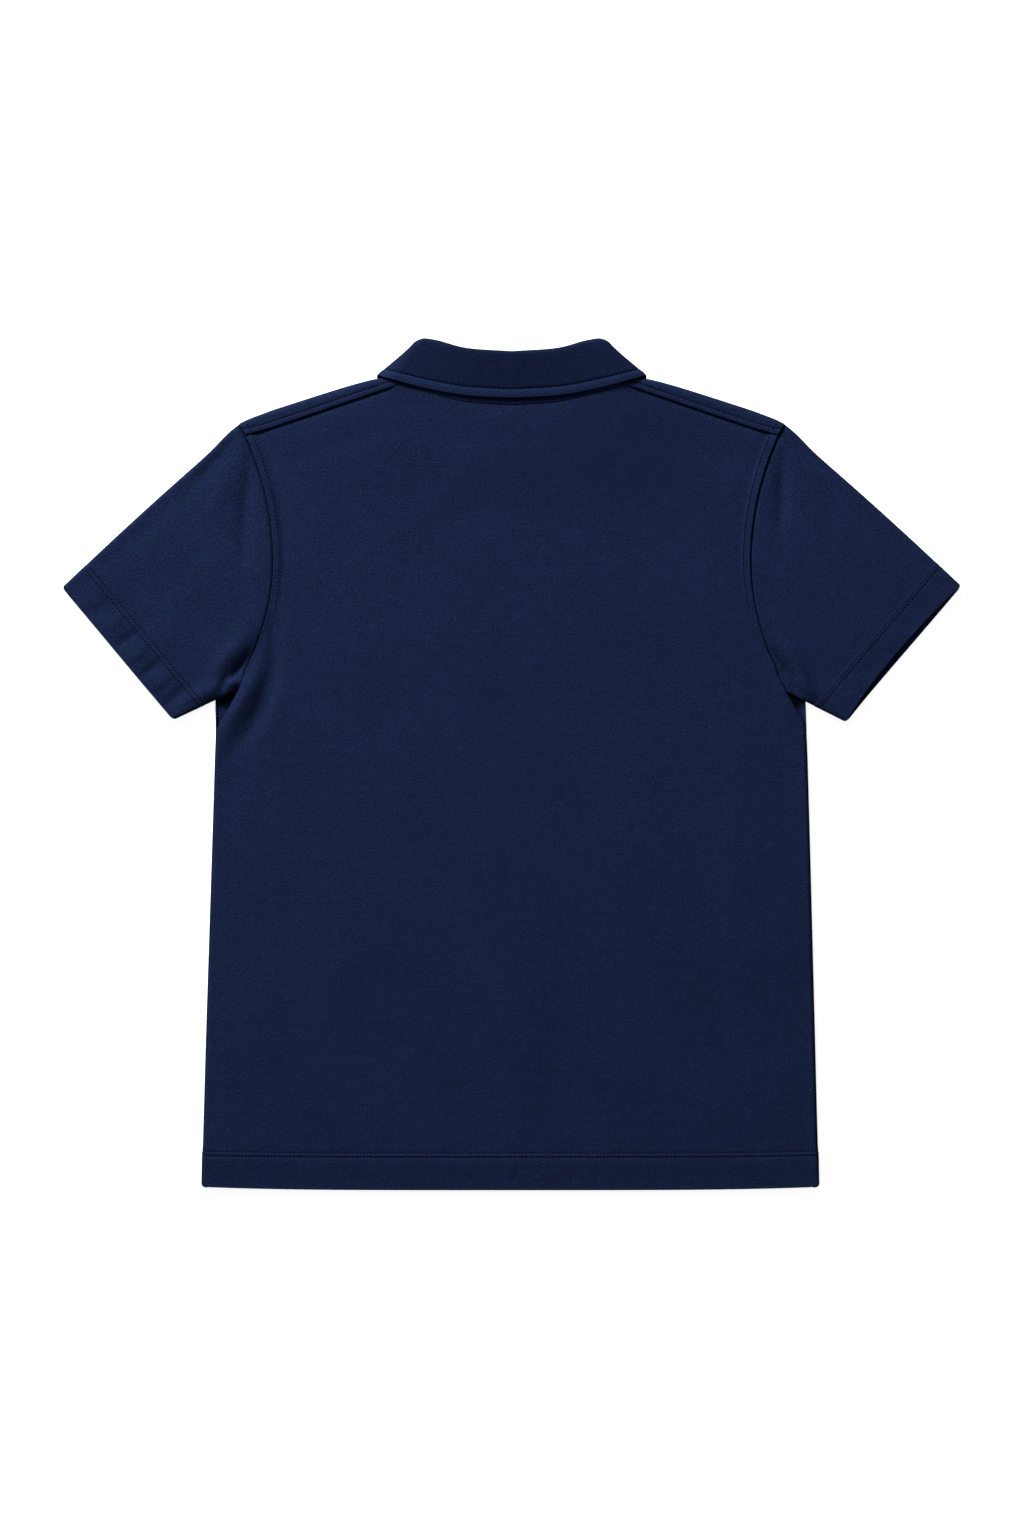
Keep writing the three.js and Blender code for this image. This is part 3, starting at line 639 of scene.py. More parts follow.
def back_grid(sign):
    lines = back_lines()
    at, flat, distance, to_end = spread(lines["start"], lines["finish"], lines["bow"])
    column = lambda key: lines[key][:, None]
    inset = (ARMPIT_INSET if sign < 0 else 0) * fade(np.abs(at[..., 1] - 438), 8, 30)
    x, y = sign * (at[..., 0] - inset * fade(distance, 0, 30)), at[..., 1]
    level = top_level(x, y) + relief(x, y, BACK_CREASES) - 1.1 * bell(above_seam(x, y), 3.4)
    level = level - 0.5 * column("armhole") * bell(distance - 12, 4.5)
    level = level - 1.4 * fade(flat[..., 1], 0, 26)
    level = above(level - twin_needle(flat[..., 1], HEM_STITCHES) / 2, LOW + 1.6)
    edge = level - 0.8 * column("fold")
    edge = mix(edge, BODY_HEIGHT / 2 + 0.15, column("seam"))
    z = mix(level, edge, turned(distance, ROLL_REACH))
    z = mix(z, lines["finish"][:, 2:3], column("neck") * fade(to_end, 0, 20))
    band = column("armhole") * (BAND_RAISE * fade(distance, BAND_WIDTH - 0.4, BAND_WIDTH + 1.4))
    band = band + 0.4 * column("lip") * bell(distance - 0.9, 0.75)
    outer = HALF + band - column("armhole") * groove(distance - BAND_STITCH, 0.6)
    outer = outer - twin_needle(flat[..., 1], HEM_STITCHES) / 2
    outer = outer + 0.2 * fade(flat[..., 1], HEM_DEPTH - 1, HEM_DEPTH + 1.5)
    points = np.stack([x, y, z], -1)
    upright = (distance == 0) & (column("seam") == 1)
    inner = HALF + hem_inside(flat[..., 1], distance)
    cloth = np.stack([sign * flat[..., 0], flat[..., 1]], -1)

    top_row = points[-1]
    away = np.array([sign * 0.295, 0.955, 0])
    for reach, drop in TUCKS:
        row = top_row + away * reach
        row[:, 2] -= drop
        points = np.concatenate([points, row[None]])
    extend = lambda grid: np.concatenate([grid, np.repeat(grid[-1:], len(TUCKS), axis=0)])
    return points, extend(outer), extend(inner), extend(cloth), extend(upright)


def make_back():
    wall = Wall(bulge=0.3)
    for sign in (1, -1):
        points, outer, inner, cloth, upright = back_grid(sign)
        wall.patch(points, outer, inner, cloth, upright, turned_over=sign > 0)
    return wall.build("back_cloth")


def front_lines():
    ones = np.ones
    keys = np.array([
        (*side_places(np.array([408.0]))[0], 408), (265.2, 441.8, 432), (251, 448.4, 446),
        (UNDERARM[0] + 0.6, UNDERARM[1] + 0.2, 458), (*armhole_front.along(0.05), 476),
    ])
    steps = np.linspace(0, len(keys) - 1, 22)[1:]
    corner = np.stack([np.interp(steps, range(len(keys)), column) for column in keys.T], -1)
    ups = [(s, PLACKET_TOP if v is None else v) for s, v in FRONT_UPS]
    share, up = table_rows(ups, GRID, armhole_front.length)
    share, up = share[1:], up[1:]
    neck_share, _ = table_rows(FRONT_SECTIONS, GRID * 0.8, armhole_front.length)
    close = 1 - np.array([0.01, 0.006, 0.0035, 0.0015, 0.0005])
    neck_share = np.unique(np.r_[neck_share, close])[1:]
    section = np.interp(neck_share, *np.array(FRONT_SECTIONS).T)
    strip_share = np.r_[close[::-1], 0.984, np.linspace(0.98, SEAM_SHARE, 14)]
    strip_section = np.interp(-strip_share, *(np.array(STRIP_SECTIONS).T * [[-1], [1]]))
    finish = flat_end(SLOT, up)
    finish[:, 2] = LEVELS["neck"][0]
    return stack(
        {"start": side_places(SIDE_UPS), "finish": flat_end(SLOT, SIDE_UPS), "seam": ones(len(SIDE_UPS))},
        {"start": corner[:, :2], "finish": flat_end(SLOT, corner[:, 2]), "seam": (steps <= 1).astype(float)},
        {"start": armhole_front.along(share), "finish": finish, "neck": rise(up, 630, PLACKET_TOP)},
        {"start": armhole_front.along(neck_share), "finish": neckline(section), "neck": ones(len(section)),
         "bow": rise(neck_share, 0.6, 1), "roll": turned(1 - neck_share, ROLL_SHARE)},
        {"start": armhole_back.along(strip_share), "finish": neckline(strip_section),
         "neck": ones(len(strip_share)), "bow": rise(strip_share, SEAM_SHARE, 0.984),
         "roll": turned(1 - strip_share, ROLL_SHARE), "on_back": ones(len(strip_share))},
    )


def front_grid(sign):
    lines = front_lines()
    at, flat, distance, to_end = spread(lines["start"], lines["finish"], lines["bow"])
    x, y = sign * at[..., 0], at[..., 1]
    column = lambda key: lines[key][:, None]
    low = low_level(x, y) + relief(x, y, FRONT_CREASES) * rise(to_end, 0, 14)
    top = top_level(x, y) + STRIP_RAISE
    level = np.where(column("on_back") > 0, top, low)
    z = mix(level, mix(level, BODY_HEIGHT / 2 - 0.15, column("seam")), turned(distance, ROLL_REACH))
    z = mix(z, (low + top) / 2, column("roll"))
    z = mix(z, lines["finish"][:, 2:3], column("neck") * fade(to_end, 0, 20))
    points = np.stack([x, y, z], -1)
    up_strip = above_seam(x, y)
    sewn = groove(up_strip - STRIP_STITCH, 0.65, 0.7) - 0.2 * bell(up_strip - 2, 1.6)
    band = groove(distance - BAND_STITCH, 0.4) - 0.25 * fade(distance, BAND_WIDTH - 0.4, BAND_WIDTH + 1.4)
    band = band - 0.3 * bell(distance - 0.9, 0.75)
    outer = HALF - twin_needle(flat[..., 1], HEM_STITCHES) / 2 - column("on_back") * (sewn + band)
    upright = (distance == 0) & (column("seam") == 1)
    inner = HALF + hem_inside(flat[..., 1], distance)
    cloth = np.stack([sign * flat[..., 0], flat[..., 1]], -1)
    return points, outer, inner, cloth, upright


def front_middle(sign):
    ups = front_lines()["finish"][:, 1]
    ups = ups[: np.argmin(np.abs(ups - SLOT_FOOT)) + 1]
    x, y = np.meshgrid(sign * np.linspace(SLOT, 0, 5), ups)
    low = low_level(x, y)
    points = np.stack([x, y, low], -1)
    return points, HALF - twin_needle(y, HEM_STITCHES) / 2, HALF + hem_inside(y, SLOT), np.stack([x, y], -1)


def make_front():
    wall = Wall(bulge=0.3)
    for sign in (1, -1):
        points, outer, inner, cloth, upright = front_grid(sign)
        wall.patch(points, outer, inner, cloth, upright, turned_over=sign < 0)
        wall.patch(*front_middle(sign), turned_over=sign < 0)
    return wall.build("front_cloth")


# Sleeves
SLEEVE_TUCK = 2.6
TUCK_DROP = 2.3
SLEEVE_BOW = 1.5
BAND_ROWS = 38  # the cuff's rows that run along it, by distance from its edge
EDGE_SHARES = np.array([0, 0.0006, 0.0015, 0.003, 0.006, 0.0105, 0.016, 0.024])


def cuff_creases(cuff):
    """The cross ripples of a cuff's band as creases in the shirt's plane."""
    bottom, _, along, inward = cuff_lines(cuff)
    turn = math.degrees(math.atan2(inward[1], cuff["sign"] * inward[0]))
    creases = []
    for place, wide, high in CUFF_RIPPLES[cuff["name"]]:
        x, up = bottom + along * place + inward * 12
        creases.append((cuff["sign"] * x, up, turn, 15, wide, high, 0))
    return creases


def sleeve_layer(cuff, curve, upper):
    """Rows from the armhole to the cuff of one layer, over shares of the armhole from its bottom."""
    even = np.linspace(EDGE_SHARES[-1], 1 - EDGE_SHARES[-1], 116)
    ring = np.unique(np.r_[EDGE_SHARES, even, 1 - EDGE_SHARES])
    start = curve.along(ring) + curve.outward(ring) * 0.1
    bottom, top = np.array(cuff["bottom"]), np.array(cuff["top"])
    width = np.linalg.norm(top - bottom)
    inset = 0.2 / width
    cuff_end = mix(mix(bottom, top, inset), mix(top, bottom, inset), ring[:, None])
    along = (top - bottom) / width
    reach = np.abs((start - bottom) @ np.array([along[1], -along[0]]))
    edge_distance = np.minimum(ring, 1 - ring) * width
    corner = CORNER * turned(edge_distance, CORNER)
    mouth = cuff["bow"] * np.sin(np.pi * ring) ** 0.7 if upper else 0

    far = np.linspace(0, 1, 58)[:, None]
    near = refined(0, BAND_ROWS, 3.4, CUFF_STITCHES)[::-1]
    near = np.unique(np.r_[near, 0.3, 0.8, 1.6])[::-1]
    on_band = np.broadcast_to(near[1:, None], (len(near) - 1, len(ring)))
    distance = np.vstack([mix(reach, BAND_ROWS, far), on_band])
    pull = (corner + mouth) * fade(distance, 0, 22)
    share = (distance + pull) / reach
    at = mix(cuff_end, start, share[..., None])
    bow = SLEEVE_BOW * np.sin(np.pi * np.clip(share, 0, 1)) * ring**3
    at = at + along * bow[..., None]
    from_seam = (1 - distance / reach) * np.linalg.norm(start - cuff_end, axis=1)
    tucked = start - curve.outward(ring) * SLEEVE_TUCK
    half_tucked = start - curve.outward(ring) * SLEEVE_TUCK / 2
    at = np.concatenate([tucked[None], half_tucked[None], at])
    from_seam = np.vstack([np.full(len(ring), -SLEEVE_TUCK), np.full(len(ring), -SLEEVE_TUCK / 2), from_seam])
    distance = np.vstack([distance[:1], distance[:1], distance])

    x, y = cuff["sign"] * at[..., 0], at[..., 1]
    to_fold = np.minimum(ring, 1 - ring)[None]
    flatness = 1 - turned(to_fold, ROLL_SHARE)
    from_underarm = np.hypot(at[..., 0] - UNDERARM[0], at[..., 1] - UNDERARM[1])
    dip = (1.5 if cuff["sign"] > 0 else 0.7) * fade(from_underarm, 8, 36)
    high = top_level(x, y) - dip
    seam = TUCK_DROP * fade(from_seam, -1.6, 3.4)
    creases = relief(x, y, SLEEVE_CREASES) + relief(x, y, cuff_creases(cuff)) * fade(distance, 26, 34)
    creases = creases * rise(distance, -6, 10)
    lifted = 1.2 * fade(np.hypot(at[..., 0] - 251, at[..., 1] - 447), 10, 26)
    sunk = twin_needle(distance, CUFF_STITCHES, 0.26) / 2
    sunk = sunk - cuff["ridge"] * bell(distance - CUFF_STITCHES[1], 0.7)
    sewn_flat = 1 - turned(to_fold, 0.006)
    lower_level = LOW + seam * flatness + lifted
    upper_level = above(high + creases - (seam + sunk) * sewn_flat, LOW + lifted + 1.5)
    level = upper_level if upper else lower_level
    z = mix(level, (lower_level + upper_level) / 2, turned(to_fold, ROLL_SHARE))
    hem = HEM_EXTRA * fade(distance, 30, 33) * rise(to_fold, 0.012, 0.03)
    raised = 0.14 * fade(distance, CUFF_STITCHES[1] - 1, CUFF_STITCHES[1] + 1.5)
    points = np.stack([x, y, z], -1)
    girth = ring * width if upper else -ring * width
    cloth = np.stack([np.broadcast_to(girth, x.shape), distance], -1)
    return points, HALF - sunk + raised, HALF + hem, cloth


def make_sleeve(cuff):
    wall = Wall(bulge=0.4)
    lower = sleeve_layer(cuff, armhole_front, False)
    upper = sleeve_layer(cuff, armhole_back, True)
    joined = []
    for low, high in zip(lower, upper):
        join = np.concatenate([low, high[:, ::-1][:, 1:-1], low[:, :1]], axis=1)
        joined.append(join)
    wall.patch(*joined, turned_over=cuff["sign"] < 0)
    return wall.build(cuff["name"] + "_cloth")


# Collar
ROLL_STEPS = 14
STAND_STEPS = 9
LEAF_SHARES = np.linspace(0.125, 0.75, 6)  # places between the roll and the stitches near the leaf's edge


def collar_grid(sign):
    """Section lines from the neck edge over the roll to the leaf's edge."""
    section = np.unique(np.r_[np.linspace(0, 3, 56), np.linspace(3, 7, 72), np.linspace(7, LAST, 78)])
    neck = collar_point("neck", section, "neck")
    roll = collar_point("roll", section, "stand")
    edge = collar_point("edge", section, "edge")
    level = np.clip(collar_curves["roll"].at(section / LAST)[:, 2], -1, 1)
    leaf_level = mix(LEVELS["leaf"][0], LEVELS["leaf"][1], (level + 1) / 2)
    out = np.stack([roll[:, 1] - neck[:, 1], neck[:, 0] - roll[:, 0], np.zeros(len(section))], -1)
    out = unit(out)
    sideways = (np.sqrt(1 - level**2) * ROLL_WIDTH)[:, None]
    across = out * sideways
    across[:, 2] = leaf_level - roll[:, 2]
    radius = np.linalg.norm(across, axis=1, keepdims=True) / 2
    along = unit(roll - neck)
    stand = roll - along * (radius + COLLAR_HALF) - out * sideways
    lines = [mix(neck, stand, share) for share in np.linspace(0, 1, STAND_STEPS, endpoint=False)]
    for angle in np.linspace(0, math.pi, ROLL_STEPS):
        lines.append(stand + across * (1 - math.cos(angle)) / 2 + along * radius * math.sin(angle))
    leaf = lines[-1]
    length = np.linalg.norm(edge - leaf, axis=1, keepdims=True)
    near = np.unique(np.r_[0, 0.5, 1.2, 2.2, 3.6, 5, [LEAF_STITCH + offset for offset in FINE], 11.5])[::-1]
    for share in LEAF_SHARES:
        lines.append(mix(leaf, edge, share * (1 - near[0] / length)))
    for distance in near:
        lines.append(mix(edge, leaf, distance / length))
    points = np.stack(lines, 1)
    run = np.linalg.norm(np.diff(points, axis=1), axis=2)
    depth = np.concatenate([np.cumsum(run[:, ::-1], axis=1)[:, ::-1], np.zeros((len(section), 1))], axis=1)
    girth = np.cumsum(np.r_[0, np.linalg.norm(np.diff(roll, axis=0), axis=1)])
    cloth = np.stack([np.broadcast_to(sign * girth[:, None], depth.shape), depth], -1)
    points[..., 0] *= sign
    return points, depth, cloth


def make_collar():
    wall = Wall(bulge=0.5)
    for sign in (1, -1):
        points, depth, cloth = collar_grid(sign)
        rim = 0.4 * fade(depth, 0, 3)
        outer = COLLAR_HALF - groove(depth - LEAF_STITCH, 0.6, 0.9) + 0.12 * fade(depth, 5, 7.5) - rim
        wall.patch(points, outer, COLLAR_HALF - rim, cloth, turned_over=sign < 0)
    return wall.build("collar_cloth")


# Placket strips: a grid over a rectangle, thick enough for two layers, with sewn edges
def make_strip(node, name, creased):
    low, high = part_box(node)
    low, high = np.array(low) / MILLIMETRE, np.array(high) / MILLIMETRE
    x, y = np.meshgrid(refined(low[0] + 0.15, high[0] - 0.15, 2.2), refined(low[1], high[1], 2.6))
    to_side = np.minimum(x - low[0], high[0] - x)
    to_end = np.minimum(y - low[1], high[1] - y)
    edge = np.minimum(to_side, to_end)
    waves = 0.12 * np.sin(y / 7.3) * np.sin(x / 4.1) + 0.15 * np.sin(y / 23)
    puff = 0.25 * rise(edge, 0, 3) + creased * waves
    middle = (low[2] + high[2]) / 2
    points = np.stack([x, y - HEM_LINE, np.full(x.shape, middle)], -1)
    cloth = np.stack([x, y], -1)
    thick = (high[2] - low[2]) / 2 - 0.2
    outer = thick + puff - groove(to_side - 2.6, 0.3) - groove(np.abs(y - low[1]) - 3, 0.25)
    wall = Wall(bulge=0.5)
    wall.patch(points, outer, np.full(x.shape, thick), cloth, turned_over=True)
    return wall.build(name)


# Buttons
BUTTON_PROFILE = [
    (0, 0.72), (0.52, 0.72), (0.6, 0.66), (0.68, 0.4), (0.76, 0.08), (0.82, 0), (0.89, 0.02),
    (0.95, 0.16), (0.985, 0.45), (1, 0.85), (0.985, 1.25), (0.95, 1.75), (0.88, 2.1), (0.8, 2.2), (0, 2.2),
]
HOLE_PITCH = 1.5
HOLE_RADIUS = 0.8


def make_button(node):
    """A turned disc with four holes. Its face looks down."""
    low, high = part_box(node)
    centre = (low + high) / 2
    radius = (high.x - low.x) / 2
    sides = 56
    angles = np.arange(sides) / sides * 2 * math.pi
    points, faces = [], []
    rings = []
    for share, z in BUTTON_PROFILE:
        if share == 0:
            rings.append([len(points)] * sides)
            points.append((centre.x, centre.y, low.z + z * MILLIMETRE))
        else:
            rings.append(list(range(len(points), len(points) + sides)))
            for angle in angles:
                reach = radius * share
                points.append((centre.x + reach * math.cos(angle), centre.y + reach * math.sin(angle),
                               low.z + z * MILLIMETRE))
    for ring, following in zip(rings, rings[1:]):
        for i in range(sides):
            j = (i + 1) % sides
            face = [ring[i], ring[j], following[j], following[i]]
            faces.append(list(dict.fromkeys(face)))
    mesh = bpy.data.meshes.new(node + "_disc")
    mesh.from_pydata(points, [], faces)
    disc = bpy.data.objects.new(node + "_disc", mesh)
    bpy.context.scene.collection.objects.link(disc)
    drill = drill_holes(centre)
    cut = disc.modifiers.new("holes", "BOOLEAN")
    cut.object = drill
    cut.operation = "DIFFERENCE"
    graph = bpy.context.evaluated_depsgraph_get()
    finished = bpy.data.meshes.new_from_object(disc.evaluated_get(graph))
    disc.modifiers.clear()
    disc.data = finished
    bpy.data.objects.remove(drill)
    finished.shade_smooth()
    return disc


def drill_holes(centre):
    sides = 16
    points, faces = [], []
    for x, y in ((-1, -1), (1, -1), (-1, 1), (1, 1)):
        first = len(points)
        for z in (-3, 6):
            for i in range(sides):
                angle = i / sides * 2 * math.pi
                points.append((
                    centre.x + (x * HOLE_PITCH + HOLE_RADIUS * math.cos(angle)) * MILLIMETRE,
                    centre.y + (y * HOLE_PITCH + HOLE_RADIUS * math.sin(angle)) * MILLIMETRE,
                    centre.z + z * MILLIMETRE,
                ))
        bottom = list(range(first, first + sides))
        top = [i + sides for i in bottom]
        faces.append(bottom[::-1])
        faces.append(top)
        for i in range(sides):
            j = (i + 1) % sides
            faces.append([bottom[i], bottom[j], top[j], top[i]])
    mesh = bpy.data.meshes.new("drill")
    mesh.from_pydata(points, [], faces)
    drill = bpy.data.objects.new("drill", mesh)
    bpy.context.scene.collection.objects.link(drill)
    return drill


# Stitches: short arcs of thread, joined in one mesh for each seam
THREAD = 0.42
STITCH = 2.0
PITCH = 3.3


def surface_of(piece):
    mesh = piece.data
    return BVHTree.FromPolygons([v.co for v in mesh.vertices], [tuple(p.vertices) for p in mesh.polygons])


def land(surface, x, up, from_above=True):
    """Where a vertical line meets a piece first, and the surface's direction there."""
    start = Vector((x * MILLIMETRE, (up + HEM_LINE) * MILLIMETRE, 0.2 if from_above else -0.2))
    place, normal, _, _ = surface.ray_cast(start, Vector((0, 0, -1 if from_above else 1)))
    if place is None:
        return None
    at = np.array(place) / MILLIMETRE
    at[1] -= HEM_LINE
    return at, np.array(normal)


class Stitching:
    """Collects stitches and writes them as one mesh."""

    RINGS = np.array([-0.5, -0.36, 0, 0.36, 0.5])
    SIDES = 6

    def __init__(self, seed=1):
        self.points, self.faces = [], []
        self.random = np.random.default_rng(seed)
        angle = np.arange(self.SIDES) / self.SIDES * 2 * math.pi
        self.round = np.stack([np.cos(angle), np.sin(angle)], -1)

    def stitch(self, start, end, normal, thread=THREAD, lift=0.12):
        run = end - start
        length = np.linalg.norm(run)
        if length < 0.3:
            return
        run = run / length
        normal = unit(normal - run * (normal @ run))
        side = np.cross(run, normal)
        first = len(self.points)
        for s in self.RINGS:
            high = lift * (1 - (2 * s) ** 2) * 2 - 0.3 * abs(2 * s) ** 3
            centre = (start + end) / 2 + run * s * length + normal * high
            thick = thread * (1 - 0.45 * abs(2 * s) ** 3)
            for c, d in self.round:
                self.points.append(centre + side * c * thick + normal * d * thick)
        count = self.SIDES
        for ring in range(len(self.RINGS) - 1):
            a = first + ring * count
            for i in range(count):
                j = (i + 1) % count
                self.faces.append((a + i, a + j, a + count + j, a + count + i))
        self.faces.append(tuple(range(first + count - 1, first - 1, -1)))
        last = first + (len(self.RINGS) - 1) * count
        self.faces.append(tuple(range(last, last + count)))

    def along(self, line, surface, from_above=True, pitch=PITCH, length=STITCH, **looks):
        """Stitches along a line of plane places, laid on a piece."""
        line = np.asarray(line, float)
        run = np.r_[0, np.cumsum(np.linalg.norm(np.diff(line, axis=0), axis=1))]
        count = max(1, int(run[-1] / pitch))
        for i in range(count):
            middle = (i + 0.5) * run[-1] / count
            half = length / 2 * self.random.uniform(0.9, 1.08)
            ends = []
            for s in (middle - half, middle + half):
                place = [np.interp(s, run, line[:, 0]), np.interp(s, run, line[:, 1]), 0]
                x, up, _ = lean(np.array([place]))[0]
                ends.append(land(surface, x, up, from_above))
            if None in ends:
                continue
            (a, normal_a), (b, normal_b) = ends
            if abs(a[2] - b[2]) < 1.5:
                self.stitch(a, b, normal_a + normal_b, **looks)

    def build(self, name):
        return write_mesh(name, self.points, self.faces)


def hem_line(up, reach=275.5):
    x = np.linspace(-reach, reach, 120)
    return np.stack([x, up + hem_lift(x, up)], -1)


def cuff_line(cuff, distance):
    """A line that far from the cuff's edge, as long as the sleeve is wide there."""
    bottom, top, _, inward = cuff_lines(cuff)
    reach = np.linalg.norm(top - bottom)
    lower_edge = unit(np.array(UNDERARM) - bottom)
    upper_edge = unit(np.array(SHOULDER[0]) - top)
    low = bottom + lower_edge * distance / (lower_edge @ inward)
    high = top + upper_edge * distance / (upper_edge @ inward)
    inset = 2.2 / reach
    line = mix(low, high, np.linspace(inset, 1 - inset, 60)[:, None])
    return line * [cuff["sign"], 1]


def mirrored(line, sign):
    return np.asarray(line) * [sign, 1]


def sew_seams(back, front, sleeves, collar):
    """All the stitching, as one piece for each seam."""
    tops = {"back": surface_of(back), "front": surface_of(front), "collar": surface_of(collar)}
    pieces = []

    hem = Stitching(1)
    for up in HEM_STITCHES:
        hem.along(hem_line(up), tops["back"])
        hem.along(hem_line(up), tops["front"], from_above=False)
    pieces.append(hem.build("stitches_hem"))

    for cuff, sleeve in zip(CUFFS, sleeves):
        surface = surface_of(sleeve)
        cuff_thread = Stitching(2)
        for distance in CUFF_STITCHES[: 1 if cuff["ridge"] else 2]:
            for from_above in (True, False):
                cuff_thread.along(cuff_line(cuff, distance), surface, from_above)
        pieces.append(cuff_thread.build("stitches_" + cuff["name"]))

    armholes = Stitching(3)
    shoulders = Stitching(4)
    shares = np.linspace(0.3, SEAM_SHARE, 80)
    on_band = armhole_back.along(shares) - armhole_back.outward(shares) * BAND_STITCH
    on_strip_share = np.linspace(SEAM_SHARE, 0.995, 12)
    on_strip = armhole_back.along(on_strip_share) - armhole_back.outward(on_strip_share) * BAND_STITCH
    front_shares = np.linspace(0.06, 0.97, 90)
    on_front = armhole_front.along(front_shares) - armhole_front.outward(front_shares) * BAND_STITCH
    along_strip = mix(SEAM_START, SEAM_END, np.linspace(0.015, 0.985, 60)[:, None]) + SEAM_SIDE * STRIP_STITCH
    for sign in (1, -1):
        armholes.along(mirrored(on_band, sign), tops["back"])
        armholes.along(mirrored(on_strip, sign), tops["front"])
        armholes.along(mirrored(on_front, sign), tops["front"], from_above=False)
        shoulders.along(mirrored(along_strip, sign), tops["front"])
    pieces.append(armholes.build("stitches_armholes"))
    pieces.append(shoulders.build("stitches_shoulders"))
    pieces.append(sew_collar().build("stitches_collar"))
    return pieces


def sew_collar():
    """Stitches along the leaf's edge, and along the stand beside the neck seam."""
    thread = Stitching(5)
    for sign in (1, -1):
        points, depth, _ = collar_grid(sign)
        across = np.gradient(points, axis=1)
        along = np.gradient(points, axis=0)
        normal = unit(np.cross(across, along)) * sign
        for wanted, surface in ((LEAF_STITCH, COLLAR_HALF - 0.3), (None, COLLAR_HALF)):
            target = wanted if wanted is not None else depth[:, 0] - STAND_STITCH
            column = np.abs(depth - np.reshape(target, (-1, 1))).argmin(axis=1)
            rows = np.arange(len(points))
            line = points[rows, column]
            up = normal[rows, column]
            centre = line + up * surface
            run = np.r_[0, np.cumsum(np.linalg.norm(np.diff(line, axis=0), axis=1))]
            count = int(run[-1] / PITCH)
            for i in range(count):
                middle = (i + 0.5) * run[-1] / count
                ends = [
                    np.array([np.interp(s, run, centre[:, k]) for k in range(3)])
                    for s in (middle - STITCH / 2, middle + STITCH / 2)
                ]
                facing = np.array([np.interp(middle, run, up[:, k]) for k in range(3)])
                thread.stitch(*ends, facing)
    return thread


def button_centre(node):
    low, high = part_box(node)
    return (low.x + high.x) / 2 / MILLIMETRE, (low.y + high.y) / 2 / MILLIMETRE - HEM_LINE


def sew_placket(strips):
    """Edge stitching of the upper strip, its box at the foot, and its buttonholes."""
    surface = surface_of(strips[0])
    low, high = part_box("placket_upper")
    left, right = low.x / MILLIMETRE + 2.6, high.x / MILLIMETRE - 2.6
    foot, head = low.y / MILLIMETRE - HEM_LINE + 3, high.y / MILLIMETRE - HEM_LINE - 2
    thread = Stitching(6)
    box_top = foot + 20
    lines = [
        [(left, foot), (left, head)], [(right, foot), (right, head)],
        [(left, foot), (right, foot)], [(left, box_top), (right, box_top)],
        [(left, foot), (right, box_top)], [(left, box_top), (right, foot)],
    ]
    for line in lines:
        thread.along(line, surface, from_above=False)
    for node in ("button_1", "button_2", "button_3"):
        x, up = button_centre(node)
        for side in (-0.75, 0.75):
            for step in np.arange(-7.4, 7.5, 0.55):
                landed = land(surface, x + side, up + step, from_above=False)
                if landed:
                    place, normal = landed
                    reach = np.array([0.7, 0, 0])
                    thread.stitch(place - reach, place + reach, normal, thread=0.24)
    return thread.build("stitches_placket")


def sew_buttons():
    """Thread through the four holes of each button."""
    thread = Stitching(7)
    for node in ("button_1", "button_2", "button_3"):
        x, up = button_centre(node)
        for offset in (-HOLE_PITCH, HOLE_PITCH):
            for slip in (-0.28, 0.0, 0.28):
                start = np.array([x - HOLE_PITCH, up + offset + slip, 0.62])
                end = np.array([x + HOLE_PITCH, up + offset + slip, 0.62])
                thread.stitch(start, end, np.array([0, 0, -1.0]), thread=0.2, lift=0.16)
    return thread.build("button_threads")


# Materials
# how far the painted shade of a crevice reaches, in millimetres
CREVICE_SHADE_REACH = 7.0


